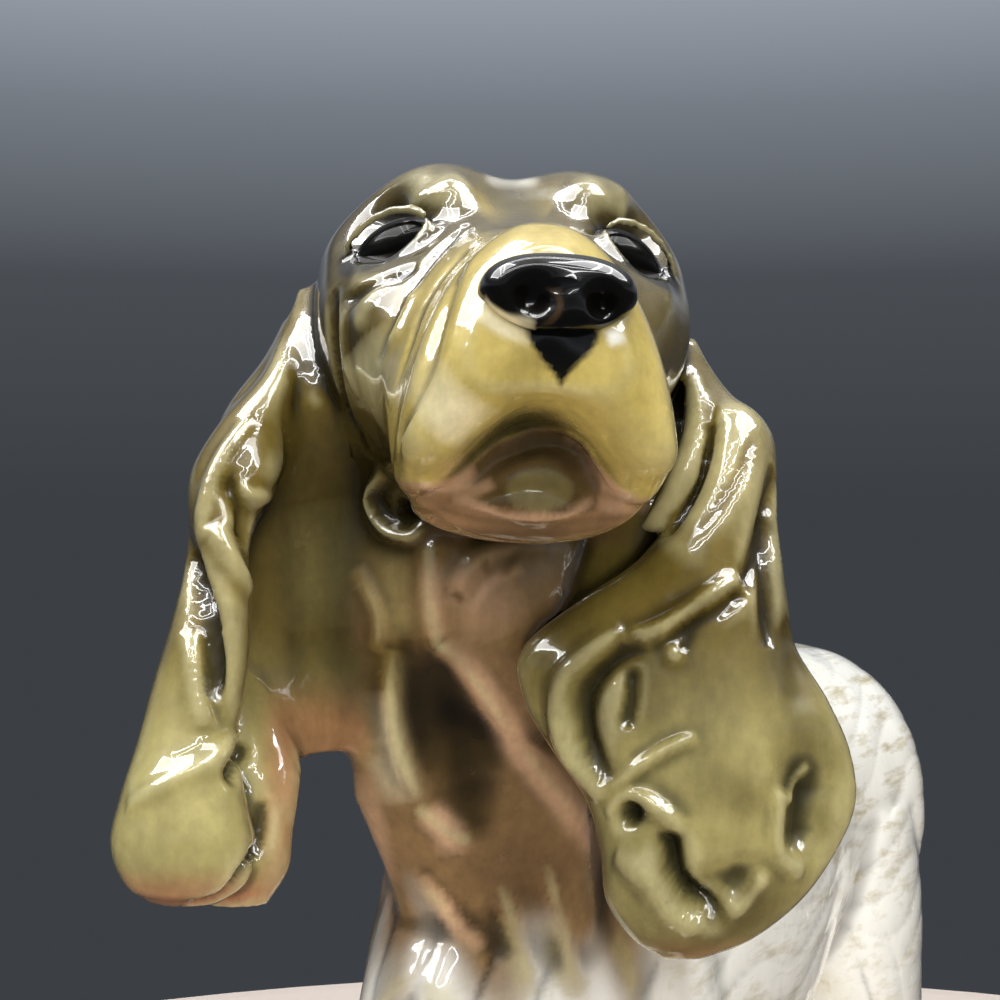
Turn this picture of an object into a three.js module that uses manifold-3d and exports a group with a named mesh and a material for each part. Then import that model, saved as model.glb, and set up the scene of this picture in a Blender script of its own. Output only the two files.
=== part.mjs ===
// A standing glazed-china spaniel, as the pottery makes it: hollow slip-cast pieces, trimmed flat at their
// joints and stuck together with slip before firing. Millimetres, +Z up. The dog faces -Y and its left is +X.
import * as THREE from "three";
import { mergeVertices } from "three/addons/utils/BufferGeometryUtils.js";
import Module from "manifold-3d";

const wasm = await Module();
wasm.setup();

// Body
const withersHeight = 89;
const croupHeight = 86;
const briskDepth = 46; // withers down to the brisket
const tuckHeight = 53; // floor to the tucked-up belly
const chestWidth = 31;
const loinWidth = 28;
const hipWidth = 31;
const shoulderReach = 31; // mid body forward to the forelegs
const hipReach = 33; // mid body back to the hind legs
const chestOverhang = 19; // forelegs forward to the point of the chest
const rumpOverhang = 16; // hind legs back to the rump

// Neck and head
const neckWidth = 21;
const neckDepth = 23;
const neckSeam = 81; // height of the joint between head and body castings, at the middle of the neck
const neckLean = 32; // degrees that the neck joint faces forwards
const eyeHeight = 120;
const headReach = 21; // forelegs forward to the point between the eyes
const headOffset = 9; // how far the turned head swings to the dog's left
const headTurn = 34; // degrees to the dog's left
const headLift = 9; // degrees, nose up
const headTilt = 2.5; // degrees, left ear down
const skullWidth = 26.8;
const skullLength = 25; // between the eyes back to the occiput
const crownHeight = 6.8; // eye line up to the crown
const cheekDepth = 20; // eye line down to the jaw
const muzzleLength = 25; // between the eyes forward to the lip
const muzzleWidth = 17.2;
const muzzleDrop = 23; // eye line down to the flews
const bridgeDrop = 2; // eye line down to the bridge of the nose
const jawDepth = 5;
const noseWidth = 9.2;
const noseHeight = 5;
const noseDrop = 7.7; // eye line down to the top of the nose
const noseReach = 1.9; // lip forward to the tip of the nose
const eyeSpacing = 16.8;
const eyeWidth = 5.8;
const chinWidth = 5.4;

// Ears
const earLengthLeft = 44.7;
const earLengthRight = 41.6;
const earDrop = 4.5; // eye line down to the ear's root
const earSetBack = 6; // eye line back to the ear's root
const earWidth = 17;
const earThickness = 8;
const earSpreadLeft = 15; // mid head out to the lobe
const earSpreadRight = 20.7;
const webTurnRight = 33; // degrees that the right ear's web runs back to the neck

// Legs and tail
const stance = 20; // between the middles of a pair of legs
const foreLegWidth = 10.5;
const foreFeather = 4.5; // long hair behind the forelegs
const hindLegWidth = 10;
const thighLength = 27;
const hockHeight = 20;
const hindFeather = 3.5;
const pawWidth = 13.5;
const pawLength = 17;
const pawHeight = 8.5;
const seamDrop = 2.5; // brisket down to the foreleg joints
const hindSeam = 45; // height of the hind leg joints
const tailLength = 27;
const tailWidth = 9.5;
const tailSeam = 9.5; // root of the tail back to its joint

// Castings
const wall = 4;
const ventDiameter = 5;
const slip = 0.6; // thickness of a slip joint
const seatGap = 0.3; // each side of a slip joint

const darkHair = new THREE.MeshStandardMaterial({ color: 0x6b5d2c, roughness: 0.12, metalness: 0 });
const paleHair = new THREE.MeshStandardMaterial({ color: 0xf1efe4, roughness: 0.12, metalness: 0 });
const firedSlip = new THREE.MeshStandardMaterial({ color: 0xe6ddcb, roughness: 0.6, metalness: 0 });

const degrees = THREE.MathUtils.degToRad;
const vec = (x, y, z) => new THREE.Vector3(x, y, z);
const farAway = 400; // a cutting block reaches past everything

// Solids and geometries

function solidOf(geometry) {
  const bare = geometry.clone();
  bare.deleteAttribute("normal");
  bare.deleteAttribute("uv");
  const merged = mergeVertices(bare, 1e-4);
  return new wasm.Manifold(
    new wasm.Mesh({
      numProp: 3,
      vertProperties: new Float32Array(merged.attributes.position.array),
      triVerts: new Uint32Array(merged.index.array),
    }),
  );
}

function geometryOf(solid) {
  const { vertProperties, triVerts } = solid.getMesh();
  const geometry = new THREE.BufferGeometry();
  geometry.setAttribute("position", new THREE.BufferAttribute(new Float32Array(vertProperties), 3));
  geometry.setIndex(new THREE.BufferAttribute(new Uint32Array(triVerts), 1));
  geometry.computeVertexNormals();
  return geometry;
}

// The largest body of a solid, so that a cut leaves no crumbs.
function largest(solid) {
  return solid.decompose().reduce((a, b) => (a.volume() > b.volume() ? a : b));
}

// A block between two levels of one axis, to slice with.
function slab(axis, low, high) {
  const size = vec(farAway, farAway, farAway).setComponent(axis, high - low);
  const block = new THREE.BoxGeometry(size.x, size.y, size.z);
  block.translate(...vec(0, 0, 0).setComponent(axis, (low + high) / 2).toArray());
  return solidOf(block);
}

const above = (level) => slab(2, level, level + farAway);
const below = (level) => slab(2, level - farAway, level);

// Lofts

// A smooth run through control values, read at t from 0 to 1.
function through(values, t) {
  const place = t * (values.length - 1);
  const i = Math.min(Math.floor(place), values.length - 2);
  const f = place - i;
  const [b, c] = [values[i], values[i + 1]];
  const a = values[i - 1] ?? 2 * b - c;
  const d = values[i + 2] ?? 2 * c - b;
  const rise = 3 * (b - c) + d - a;
  const bend = 2 * a - 5 * b + 4 * c - d;
  return b + (f * (c - a + f * (bend + f * rise))) / 2;
}

// Skins a row of control sections. A section has a middle `at`, a half width `wide`, half heights `up` and
// `down`, a squareness (`square`, 2 is an ellipse) and a share by which its top narrows (`narrow`).
// `axes` gives the across and up directions at a share t of the row, `grow` swells every section and
// `shape` moves the finished points.
function loft(sections, { rings, sides, axes, grow = 0, shape = (p) => p }) {
  const least = 0.2; // a section never shrinks to nothing
  const read = (name, t, usual) => through(sections.map((s) => s[name] ?? usual), t);
  const middle = (t) => vec(...[0, 1, 2].map((k) => through(sections.map((s) => s.at[k]), t)));
  const points = [];
  for (let r = 0; r <= rings; r++) {
    const t = r / rings;
    const centre = middle(t);
    const { across, up } = axes(t);
    const power = 2 / read("square", t, 2);
    const narrow = read("narrow", t, 0);
    const wide = Math.max(read("wide", t) + grow, least);
    for (let k = 0; k < sides; k++) {
      const angle = (2 * Math.PI * k) / sides;
      const [c, s] = [Math.cos(angle), Math.sin(angle)];
      const tall = Math.max(read(s > 0 ? "up" : "down", t) + grow, least);
      const point = centre.clone();
      const slim = 1 - narrow * Math.max(s, 0);
      point.addScaledVector(across, Math.sign(c) * Math.abs(c) ** power * wide * slim);
      point.addScaledVector(up, Math.sign(s) * Math.abs(s) ** power * tall);
      points.push(shape(point, t, angle));
    }
  }
  const [first, last] = [points.length, points.length + 1];
  const overhang = (t0, t1) => middle(t0).sub(middle(t1)).normalize().multiplyScalar(Math.max(grow, 0));
  points.push(shape(middle(0).add(overhang(0, 0.02)), 0, 0));
  points.push(shape(middle(1).add(overhang(1, 0.98)), 1, 0));
  const faces = [];
  for (let k = 0; k < sides; k++) {
    const next = (k + 1) % sides;
    for (let r = 0; r < rings; r++) {
      const [a, b] = [r * sides + k, r * sides + next];
      faces.push(a, a + sides, b, b, a + sides, b + sides);
    }
    faces.push(first, k, next, last, rings * sides + next, rings * sides + k);
  }
  const geometry = new THREE.BufferGeometry().setFromPoints(points);
  geometry.setIndex(faces);
  const solid = solidOf(geometry);
  if (solid.volume() > 0) return solid;
  geometry.setIndex(faces.map((_, i) => faces[i - (i % 3) + 2 - (i % 3)]));
  return solidOf(geometry);
}

const fixedAxes = (across, up) => () => ({ across, up });
const sideways = vec(1, 0, 0);
const upright = vec(0, 0, 1);
const forwards = vec(0, -1, 0);

// Works clay: each lump moves the points near it, with a bell-shaped falloff.
function work(point, lumps) {
  const moved = point.clone();
  for (const { at, reach, push } of lumps) {
    const off = [0, 1, 2].map((k) => (point.getComponent(k) - at[k]) / reach[k]);
    const weight = Math.exp(-0.5 * (off[0] ** 2 + off[1] ** 2 + off[2] ** 2));
    moved.add(vec(...push).multiplyScalar(weight));
  }
  return moved;
}

const mirrored = ([x, y, z], side) => [side * x, y, z];
const bothSides = ({ at, reach, push }) =>
  [1, -1].map((side) => ({ at: mirrored(at, side), reach, push: mirrored(push, side) }));

// Head frame: origin between the eyes, +X the dog's left, -Y forwards along the muzzle, +Z up.

const headGroup = new THREE.Group();
headGroup.name = "head_group";
headGroup.position.set(headOffset, -shoulderReach - headReach, eyeHeight);
headGroup.rotation.order = "ZXY";
headGroup.rotation.set(degrees(-headLift), degrees(headTilt), degrees(headTurn));
headGroup.updateMatrixWorld(true);
const fromHead = headGroup.matrixWorld;
const toHead = fromHead.clone().invert();

// A manifold solid carried by a matrix.
const carried = (solid, matrix) => solidOf(geometryOf(solid).applyMatrix4(matrix));

// Brows, stop, eye sockets, cheeks, flews, bridge and the arch of the mouth, worked into the face.
const unit = skullWidth / 100;
const brow = { at: [23, -6, 17], reach: [13, 12, 11], push: [1, -4.5, 2.2] };
const stop = { at: [0, -9, 18], reach: [7, 22, 19], push: [0, 3, -3] };
const socket = { at: [35, -13, 1], reach: [10, 11, 8], push: [-7, 9, 0] };
const cheek = { at: [43, -4, -26], reach: [11, 19, 15], push: [3.4, -2.2, 0] };
const inFace = ({ at, reach, push }) => ({
  at: at.map((v) => v * unit),
  reach: reach.map((v) => v * unit),
  push: push.map((v) => v * unit),
});
const flew = {
  at: [0.44 * muzzleWidth, -0.6 * muzzleLength, -0.91 * muzzleDrop],
  reach: [0.15 * muzzleWidth, 0.22 * muzzleLength, 0.18 * muzzleDrop],
  push: [-0.03 * muzzleWidth, -0.04 * muzzleLength, -0.06 * muzzleDrop],
};
const flewEdge = {
  at: [0.46 * muzzleWidth, -0.66 * muzzleLength, -muzzleDrop],
  reach: [0.23 * muzzleWidth, 0.32 * muzzleLength, 0.13 * muzzleDrop],
  push: [0, 0, 0.074 * muzzleDrop],
};
const bridgeDip = {
  at: [0, -0.72 * muzzleLength, -0.15 * muzzleDrop],
  reach: [0.35 * muzzleWidth, 0.28 * muzzleLength, 0.17 * muzzleDrop],
  push: [0, 0, -0.057 * muzzleDrop],
};
const mouthArch = {
  at: [0, -0.76 * muzzleLength, -muzzleDrop],
  reach: [0.2 * muzzleWidth, 0.28 * muzzleLength, 0.19 * muzzleDrop],
  push: [0, 0.1 * muzzleLength, 0.27 * muzzleDrop],
};
const faceLumps = [
  ...bothSides(inFace(brow)),
  inFace(stop),
  ...bothSides(inFace(socket)),
  ...bothSides(inFace(cheek)),
  ...bothSides(flew),
  mouthArch,
  bridgeDip,
  ...bothSides(flewEdge),
];

function skull(grow, rings, sides) {
  const halfSkull = skullWidth / 2;
  const halfMuzzle = muzzleWidth / 2;
  const section = (y, wide, middle, top, bottom, square, narrow) => {
    return { at: [0, y, middle], wide, up: top - middle, down: middle - bottom, square, narrow };
  };
  const back = skullLength;
  const front = -muzzleLength;
  const widest = -0.2 * crownHeight; // the skull is broadest just under the eye line
  const lip = -0.78 * muzzleDrop; // and the muzzle low on the flews
  return loft(
    [
      section(back, 0.3 * halfSkull, -0.27 * cheekDepth, widest, -0.48 * cheekDepth, 2),
      section(0.9 * back, 0.76 * halfSkull, 2 * widest, 0.3 * crownHeight, -0.8 * cheekDepth, 2),
      section(0.6 * back, halfSkull, widest, 0.86 * crownHeight, -0.95 * cheekDepth, 2),
      section(0.3 * back, halfSkull, widest, crownHeight, -cheekDepth, 2),
      section(0, 0.95 * halfSkull, widest, 0.86 * crownHeight, -cheekDepth, 2),
      section(0.16 * front, 0.82 * halfSkull, 2.4 * widest, 0.36 * crownHeight, -1.06 * cheekDepth, 2.1),
      section(0.34 * front, 1.04 * halfMuzzle, 0.6 * lip, -0.3 * bridgeDrop, -0.98 * muzzleDrop, 2.3, 0.15),
      section(0.55 * front, halfMuzzle, lip, -bridgeDrop, -muzzleDrop, 2.4, 0.3),
      section(0.75 * front, halfMuzzle, lip, -1.5 * bridgeDrop, -0.98 * muzzleDrop, 2.4, 0.33),
      section(0.9 * front, 0.92 * halfMuzzle, lip, -2.1 * bridgeDrop, -0.92 * muzzleDrop, 2.4, 0.33),
      section(front, 0.55 * halfMuzzle, 0.8 * lip, -3.5 * bridgeDrop, -0.76 * muzzleDrop, 2.2, 0.3),
    ],
    { rings, sides, axes: fixedAxes(sideways, upright), grow, shape: (p) => work(p, faceLumps) },
  );
}

const skullSkin = (grow) => skull(grow, 26, 28);
const skullHollow = () => skull(-wall, 10, 14).intersect(slab(1, wall - muzzleLength, skullLength - wall));

// A ball of clay with its own three radii.
function ballOf(radii, at, sides, rings) {
  return solidOf(new THREE.SphereGeometry(1, sides, rings).scale(...radii).translate(...at));
}

// The lower jaw, tucked up between the flews, with the round of the chin in the arch of the mouth.
function jaw() {
  const section = (share, wide, middle, up, down) => ({
    at: [0, -share * muzzleLength, -middle * muzzleDrop],
    wide: wide * muzzleWidth,
    up: up * jawDepth,
    down: down * jawDepth,
  });
  const plate = loft(
    [
      section(0.12, 0.37, 0.8, 0.8, 0.6),
      section(0.42, 0.4, 0.88, 0.5, 0.46),
      section(0.58, 0.4, 0.9, 0.34, 0.26),
      section(0.65, 0.3, 0.91, 0.28, 0.2),
      section(0.7, 0.12, 0.91, 0.1, 0.1),
    ],
    { rings: 9, sides: 14, axes: fixedAxes(sideways, upright) },
  );
  const palateSize = [0.43 * muzzleWidth, 0.12 * muzzleLength, 0.76 * jawDepth];
  const palate = ballOf(palateSize, [0, -0.57 * muzzleLength, -0.84 * muzzleDrop], 12, 6);
  const chinSize = [0.5 * chinWidth, 0.37 * chinWidth, 0.3 * chinWidth];
  const chin = ballOf(chinSize, [0, -0.69 * muzzleLength, -0.89 * muzzleDrop], 10, 6);
  return plate.add(palate).add(chin);
}

// The nose leather: a rounded wedge with two nostrils let into its front.
function nose() {
  const middle = -noseDrop - noseHeight / 2;
  const front = -muzzleLength - noseReach;
  const section = (back, wide, rise, up, down, square) => ({
    at: [0, front + back * noseHeight, middle + rise * noseHeight],
    wide: (wide * noseWidth) / 2,
    up: up * noseHeight,
    down: down * noseHeight,
    square,
  });
  const pad = loft(
    [
      section(1.08, 0.94, 0, 0.42, 0.3, 2.2),
      section(0.68, 1, 0, 0.5, 0.42, 2.2),
      section(0.34, 0.98, 0, 0.49, 0.47, 2.2),
      section(0.14, 0.87, 0, 0.41, 0.43, 2.2),
      section(0, 0.5, 0, 0.2, 0.25, 2),
    ],
    { rings: 7, sides: 18, axes: fixedAxes(sideways, upright) },
  );
  const nostril = (side) => {
    const hole = new THREE.SphereGeometry(1, 8, 6);
    hole.scale(0.11 * noseWidth, 0.36 * noseHeight, 0.2 * noseHeight).rotateY(degrees(25 * side));
    hole.translate(side * 0.23 * noseWidth, front + 0.06 * noseHeight, middle - 0.18 * noseHeight);
    return solidOf(hole);
  };
  return pad.subtract(nostril(1)).subtract(nostril(-1));
}

function eyeball(side) {
  const ball = new THREE.SphereGeometry(1, 10, 8).scale(0.5 * eyeWidth, 0.3 * eyeWidth, 0.35 * eyeWidth);
  ball.rotateY(degrees(20 * side)).rotateZ(degrees(36 * side));
  ball.translate((side * eyeSpacing) / 2, -0.46 * eyeWidth, -0.24 * eyeWidth);
  return solidOf(ball);
}

// Neck, in the dog's frame: it rises from the chest and meets the skull behind the cheeks.

const throat = vec(0, 0.5 * skullLength, -1.3 * cheekDepth).applyMatrix4(fromHead);
const neckFoot = -shoulderReach;
const neckMiddle = 0.5 * (neckFoot + throat.y);

function neck(grow, rings, sides) {
  const [half, deep] = [neckWidth / 2, neckDepth / 2];
  const head = vec(0, 0.42 * skullLength, -0.6 * cheekDepth).applyMatrix4(fromHead);
  const lean = (t) => {
    const turn = degrees(headTurn * t);
    return { across: vec(Math.cos(turn), Math.sin(turn), 0), up: vec(Math.sin(turn), -Math.cos(turn), 0) };
  };
  const root = withersHeight - 0.6 * briskDepth;
  const midway = 0.5 * (root + neckSeam);
  return loft(
    [
      { at: [0, neckFoot, root], wide: 1.08 * half, up: 1.4 * deep, down: 1.2 * deep },
      { at: [0, neckFoot - 0.1 * neckDepth, midway], wide: 0.96 * half, up: 1.1 * deep, down: 1.3 * deep },
      { at: [0.3 * throat.x, neckMiddle, neckSeam], wide: half, up: 0.92 * deep, down: 1.1 * deep },
      { at: throat.toArray(), wide: 1.06 * half, up: 0.8 * deep, down: 0.92 * deep },
      { at: head.toArray(), wide: 1.06 * half, up: 0.65 * deep, down: 0.74 * deep },
    ],
    { rings, sides, axes: lean, grow },
  );
}

const neckSkin = (grow) => neck(grow, 12, 24);
const neckBore = neck(-wall, 6, 12);

// A block between two levels that lean with the neck joint.
function leaningSlab(low, high) {
  const block = new THREE.BoxGeometry(farAway, farAway, high - low).translate(0, 0, (low + high) / 2);
  return solidOf(block.rotateX(degrees(neckLean)).translate(0, neckMiddle, neckSeam));
}

// Ears: strips of clay laid side by side. A row gives the drop down the ear, the place out and back, the half
// width and the swell in front and behind, as shares of the ear's own sizes.

const leftLeaf = [
  [0, 0.95, 0.9, 0.06, 0.25, 0.5],
  [0.12, 1.04, 0.43, 0.21, 0.55, 0.75],
  [0.22, 1.1, 0.16, 0.34, 0.68, 0.88],
  [0.32, 1.06, 0.05, 0.44, 0.75, 1],
  [0.42, 0.92, -0.05, 0.74, 0.82, 1.4],
  [0.53, 0.76, -0.03, 1.14, 0.9, 1.62],
  [0.64, 0.88, -0.03, 1.24, 0.97, 1.6],
  [0.76, 1.05, -0.03, 1.09, 1.05, 1.25],
  [0.87, 1.03, 0.08, 0.9, 1, 0.95],
  [0.96, 0.95, 0.2, 0.56, 0.6, 0.6],
  [1, 0.9, 0.27, 0.16, 0.2, 0.2],
];
const leftStrand = [
  [0.03, 0.92, 0.68, 0.1, 0.25, 0.5],
  [0.14, 0.95, 0.25, 0.13, 0.4, 0.65],
  [0.245, 0.87, 0.03, 0.14, 0.4, 0.65],
  [0.34, 0.72, 0.05, 0.1, 0.2, 0.4],
];
const leftWeb = [
  [0, 0.91, 1.25, 0.13, 0.25, 0.75],
  [0.16, 0.92, 0.93, 0.44, 0.38, 1.1],
  [0.345, 0.81, 0.68, 0.62, 0.4, 1.25],
  [0.52, 0.63, 0.77, 0.66, 0.25, 1],
];
const rightRoll = [
  [0.01, 0.72, 1.07, 0.09, 0.38, 0.62],
  [0.11, 0.76, 0.68, 0.17, 0.6, 0.75],
  [0.2, 0.84, 0.47, 0.28, 0.7, 0.75],
  [0.29, 0.89, 0.25, 0.37, 0.7, 0.75],
  [0.38, 0.93, 0.1, 0.28, 0.6, 0.75],
  [0.47, 0.91, -0.06, 0.19, 0.54, 0.72],
  [0.61, 0.87, -0.15, 0.14, 0.45, 0.6],
  [0.74, 0.88, -0.03, 0.07, 0.2, 0.3],
];
const rightLobe = [
  [0.34, 0.98, 0.5, 0.17, 0.38, 0.5],
  [0.48, 0.99, 0.24, 0.16, 0.48, 0.63],
  [0.62, 1, 0.09, 0.27, 0.62, 0.7],
  [0.74, 1, -0.02, 0.39, 0.75, 0.75],
  [0.84, 1, -0.05, 0.51, 1, 0.95],
  [0.92, 0.995, 0, 0.56, 1.08, 1.05],
  [0.975, 0.985, 0.07, 0.45, 0.8, 0.8],
  [1, 0.985, 0.13, 0.24, 0.35, 0.35],
];
const rightFold = [
  [0.43, 0.865, 0.97, 0.19, 0.15, 0.75],
  [0.58, 0.79, 0.94, 0.38, 0.26, 0.75],
  [0.735, 0.76, 0.77, 0.38, 0.4, 0.75],
  [0.87, 0.76, 0.55, 0.28, 0.48, 0.65],
  [0.95, 0.78, 0.5, 0.26, 0.45, 0.6],
  [1, 0.825, 0.52, 0.2, 0.3, 0.4],
];
const rightWeb = [
  [0, 0.61, 1.17, 0.33, 0.35, 1],
  [0.12, 0.625, 1.09, 0.7, 0.45, 1.25],
  [0.26, 0.64, 1.18, 1.01, 0.4, 1.25],
  [0.42, 0.61, 1.35, 1.09, 0.32, 1.25],
  [0.58, 0.585, 1.5, 1.05, 0.3, 1.25],
  [0.7, 0.56, 1.52, 0.88, 0.3, 1],
  [0.77, 0.53, 1.45, 0.59, 0.2, 0.5],
];
const rightRoot = [
  [-0.06, 0.67, 1.25, 0.13, 0.2, 0.75],
  [0.03, 0.67, 0.93, 0.22, 0.46, 1.05],
  [0.13, 0.65, 0.72, 0.23, 0.52, 1.25],
  [0.22, 0.61, 0.77, 0.2, 0.34, 1.05],
  [0.285, 0.58, 0.98, 0.14, 0.12, 0.5],
];

// One strip of an ear; `turn` swings its inner edge back towards the neck.
function strip(side, rows, turn = 0) {
  const [length, spread] = side > 0 ? [earLengthLeft, earSpreadLeft] : [earLengthRight, earSpreadRight];
  const sections = rows.map(([drop, out, back, wide, front, behind]) => ({
    at: [side * out * spread, back * earSetBack, -earDrop - drop * length],
    wide: (wide * earWidth) / 2,
    up: (front * earThickness) / 2,
    down: (behind * earThickness) / 2,
  }));
  const [c, s] = [Math.cos(degrees(turn)), Math.sin(degrees(turn))];
  const axes = fixedAxes(vec(-side * c, s, 0), vec(side * s, c, 0).negate());
  return loft(sections, { rings: Math.round(1.6 * rows.length), sides: 12, axes });
}

function ear(side) {
  const strips = side > 0
    ? [strip(side, leftLeaf), strip(side, leftStrand), strip(side, leftWeb)]
    : [
        strip(side, rightRoll),
        strip(side, rightLobe),
        strip(side, rightFold, webTurnRight),
        strip(side, rightWeb, webTurnRight),
        strip(side, rightRoot),
      ];
  return strips.reduce((joined, one) => joined.add(one));
}

const brisket = withersHeight - briskDepth;

// Trunk: a deep chest, a tucked-up loin and broad hips.
function trunk(grow, rings, sides) {
  const front = -shoulderReach - chestOverhang;
  const rear = hipReach + rumpOverhang;
  const section = (y, width, top, bottom, square) => {
    const middle = 0.45 * top + 0.55 * bottom;
    return { at: [0, y, middle], wide: width / 2, up: top - middle, down: middle - bottom, square };
  };
  const up = (share) => brisket + share * briskDepth;
  const midHip = 0.5 * (loinWidth + hipWidth);
  const midBack = 0.5 * (withersHeight + croupHeight);
  return loft(
    [
      section(front, 0.26 * chestWidth, up(0.5), up(0.26), 2),
      section(front + 0.2 * chestOverhang, 0.48 * chestWidth, up(0.62), up(0.11), 2),
      section(front + 0.55 * chestOverhang, 0.68 * chestWidth, up(0.8), up(0.03), 2.1),
      section(-shoulderReach, 0.88 * chestWidth, withersHeight, brisket, 2.2),
      section(-0.5 * shoulderReach, chestWidth, withersHeight, brisket, 2.3),
      section(0, chestWidth, midBack, up(0.03), 2.3),
      section(0.45 * hipReach, loinWidth, croupHeight, 0.96 * tuckHeight, 2.2),
      section(0.8 * hipReach, midHip, croupHeight, tuckHeight, 2.2),
      section(hipReach + 0.2 * rumpOverhang, hipWidth, 0.99 * croupHeight, 0.98 * tuckHeight, 2.2),
      section(hipReach + 0.75 * rumpOverhang, 0.74 * hipWidth, 0.94 * croupHeight, 1.06 * tuckHeight, 2.1),
      section(rear, 0.28 * hipWidth, 0.86 * croupHeight, 1.19 * tuckHeight, 2),
    ],
    { rings, sides, axes: fixedAxes(sideways, upright), grow },
  );
}

// Legs, each in a frame on the floor under its own middle.

function paw() {
  const pad = new THREE.SphereGeometry(1, 12, 8).scale(0.48 * pawWidth, 0.44 * pawLength, 0.62 * pawHeight);
  pad.translate(0, 0, 0.4 * pawHeight);
  const toeWidth = pawWidth / 4;
  const toes = [-1.5, -0.5, 0.5, 1.5].map((place) => {
    const toe = new THREE.SphereGeometry(1, 8, 6).scale(0.6 * toeWidth, 0.25 * pawLength, 0.47 * pawHeight);
    const reach = (Math.abs(place) > 1 ? 0.22 : 0.32) * pawLength;
    toe.rotateZ(degrees(6 * place)).translate(0.92 * place * toeWidth, -reach, 0.36 * pawHeight);
    return solidOf(toe);
  });
  return toes.reduce((joined, toe) => joined.add(toe), solidOf(pad));
}

function foreLeg() {
  const half = foreLegWidth / 2;
  const section = (y, z, wide, front, behind, feather) => ({
    at: [0, y * foreLegWidth, z],
    wide: wide * half,
    up: front * half,
    down: behind * half + feather * foreFeather,
  });
  return loft(
    [
      section(0.2, brisket + 0.52 * briskDepth, 0.9, 1.3, 1.6, 0),
      section(0.2, brisket + 0.26 * briskDepth, 1.1, 1.5, 1.8, 0),
      section(0.2, 0.95 * brisket, 1.1, 1.1, 1, 1),
      section(0.1, 0.62 * brisket, 1, 1, 1, 0.9),
      section(0, 0.34 * brisket, 0.92, 0.93, 1, 0.4),
      section(-0.1, 0.4 * pawHeight, 1, 1, 1, 0),
    ],
    { rings: 10, sides: 12, axes: fixedAxes(sideways, forwards) },
  ).add(paw());
}

function hindLeg() {
  const half = hindLegWidth / 2;
  const thigh = thighLength / 2;
  const section = (y, z, wide, front, behind) => {
    return { at: [0, y * thigh, z], wide: wide * half, up: front, down: behind };
  };
  const [upper, lower] = [croupHeight - hindSeam, hindSeam - hockHeight];
  return loft(
    [
      section(-0.3, hindSeam + 0.58 * upper, 1.1, 0.92 * thigh, 0.78 * thigh),
      section(-0.37, hindSeam + 0.29 * upper, 1.3, thigh, thigh),
      section(-0.3, hindSeam, 1.25, 0.85 * thigh, 0.92 * thigh),
      section(0, hockHeight + 0.52 * lower, 1.12, 1.6 * half, half + hindFeather),
      section(0.37, hockHeight + 0.12 * lower, 0.92, 1.08 * half, half + 0.8 * hindFeather),
      section(0.3, 0.5 * hockHeight, 0.88, 0.96 * half, half + 0.3 * hindFeather),
      section(0.11, 0.4 * pawHeight, 1, half, half),
    ],
    { rings: 12, sides: 12, axes: fixedAxes(sideways, forwards) },
  ).add(paw());
}

// Tail: docked short, carried level with the back and feathered underneath.

const tailRoot = vec(0, hipReach + 0.56 * rumpOverhang, 0.905 * croupHeight);

function tail() {
  const half = tailWidth / 2;
  const section = (share, wide, up, down) => {
    const sag = -0.18 * tailLength * share * share;
    return { at: [0, share * tailLength, sag], wide: wide * half, up: up * half, down: down * half };
  };
  return loft(
    [
      section(-0.2, 1, 1, 1),
      section(0.2, 1, 0.95, 1.2),
      section(0.5, 0.85, 0.8, 1.3),
      section(0.8, 0.62, 0.6, 1),
      section(0.95, 0.4, 0.4, 0.6),
      section(1, 0.14, 0.14, 0.2),
    ],
    { rings: 10, sides: 14, axes: fixedAxes(sideways, upright) },
  );
}

// Assembly: full forms are sliced at their seams, so that the skin runs on across each joint.

const dog = new THREE.Group();
dog.name = "china_spaniel";
const seamDepth = 2 * seatGap + slip;

function place(parent, name, solid, material) {
  const mesh = new THREE.Mesh(geometryOf(solid), material);
  mesh.name = name;
  parent.add(mesh);
  return mesh;
}

// Cuts a full form at a level: what stays above, the slip in the joint and what hangs below.
function cutAt(solid, level) {
  return {
    upper: solid.intersect(above(level)),
    joint: solid.intersect(slab(2, level - seatGap - slip, level - seatGap)),
    lower: solid.intersect(below(level - seamDepth)),
  };
}

let torso = trunk(0, 22, 22);

const foreSeam = brisket - seamDrop;
const legs = [
  { name: "left_foreleg", side: 1, form: foreLeg, seam: foreSeam, y: -shoulderReach },
  { name: "right_foreleg", side: -1, form: foreLeg, seam: foreSeam, y: -shoulderReach },
  { name: "left_hind_leg", side: 1, form: hindLeg, seam: hindSeam, y: hipReach },
  { name: "right_hind_leg", side: -1, form: hindLeg, seam: hindSeam, y: hipReach },
];

for (const { name, side, form, seam, y } of legs) {
  const group = new THREE.Group();
  group.position.set((side * stance) / 2, y, 0);
  group.updateMatrixWorld(true);
  const { upper, joint, lower } = cutAt(form(), seam);
  torso = torso.add(carried(upper, group.matrixWorld));
  place(group, `${name}_slip_joint`, joint, firedSlip);
  place(group, name, largest(lower.intersect(above(0))), paleHair);
  dog.add(group);
}

const tailGroup = new THREE.Group();
tailGroup.position.copy(tailRoot);
tailGroup.updateMatrixWorld(true);
const fullTail = tail();
torso = torso.add(carried(fullTail.intersect(slab(1, -farAway, tailSeam)), tailGroup.matrixWorld));
const tailSlip = slab(1, tailSeam + seatGap, tailSeam + seatGap + slip);
place(tailGroup, "tail_slip_joint", fullTail.intersect(tailSlip), firedSlip);
place(tailGroup, "tail", fullTail.intersect(slab(1, tailSeam + seamDepth, farAway)), paleHair);
dog.add(tailGroup);

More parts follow.
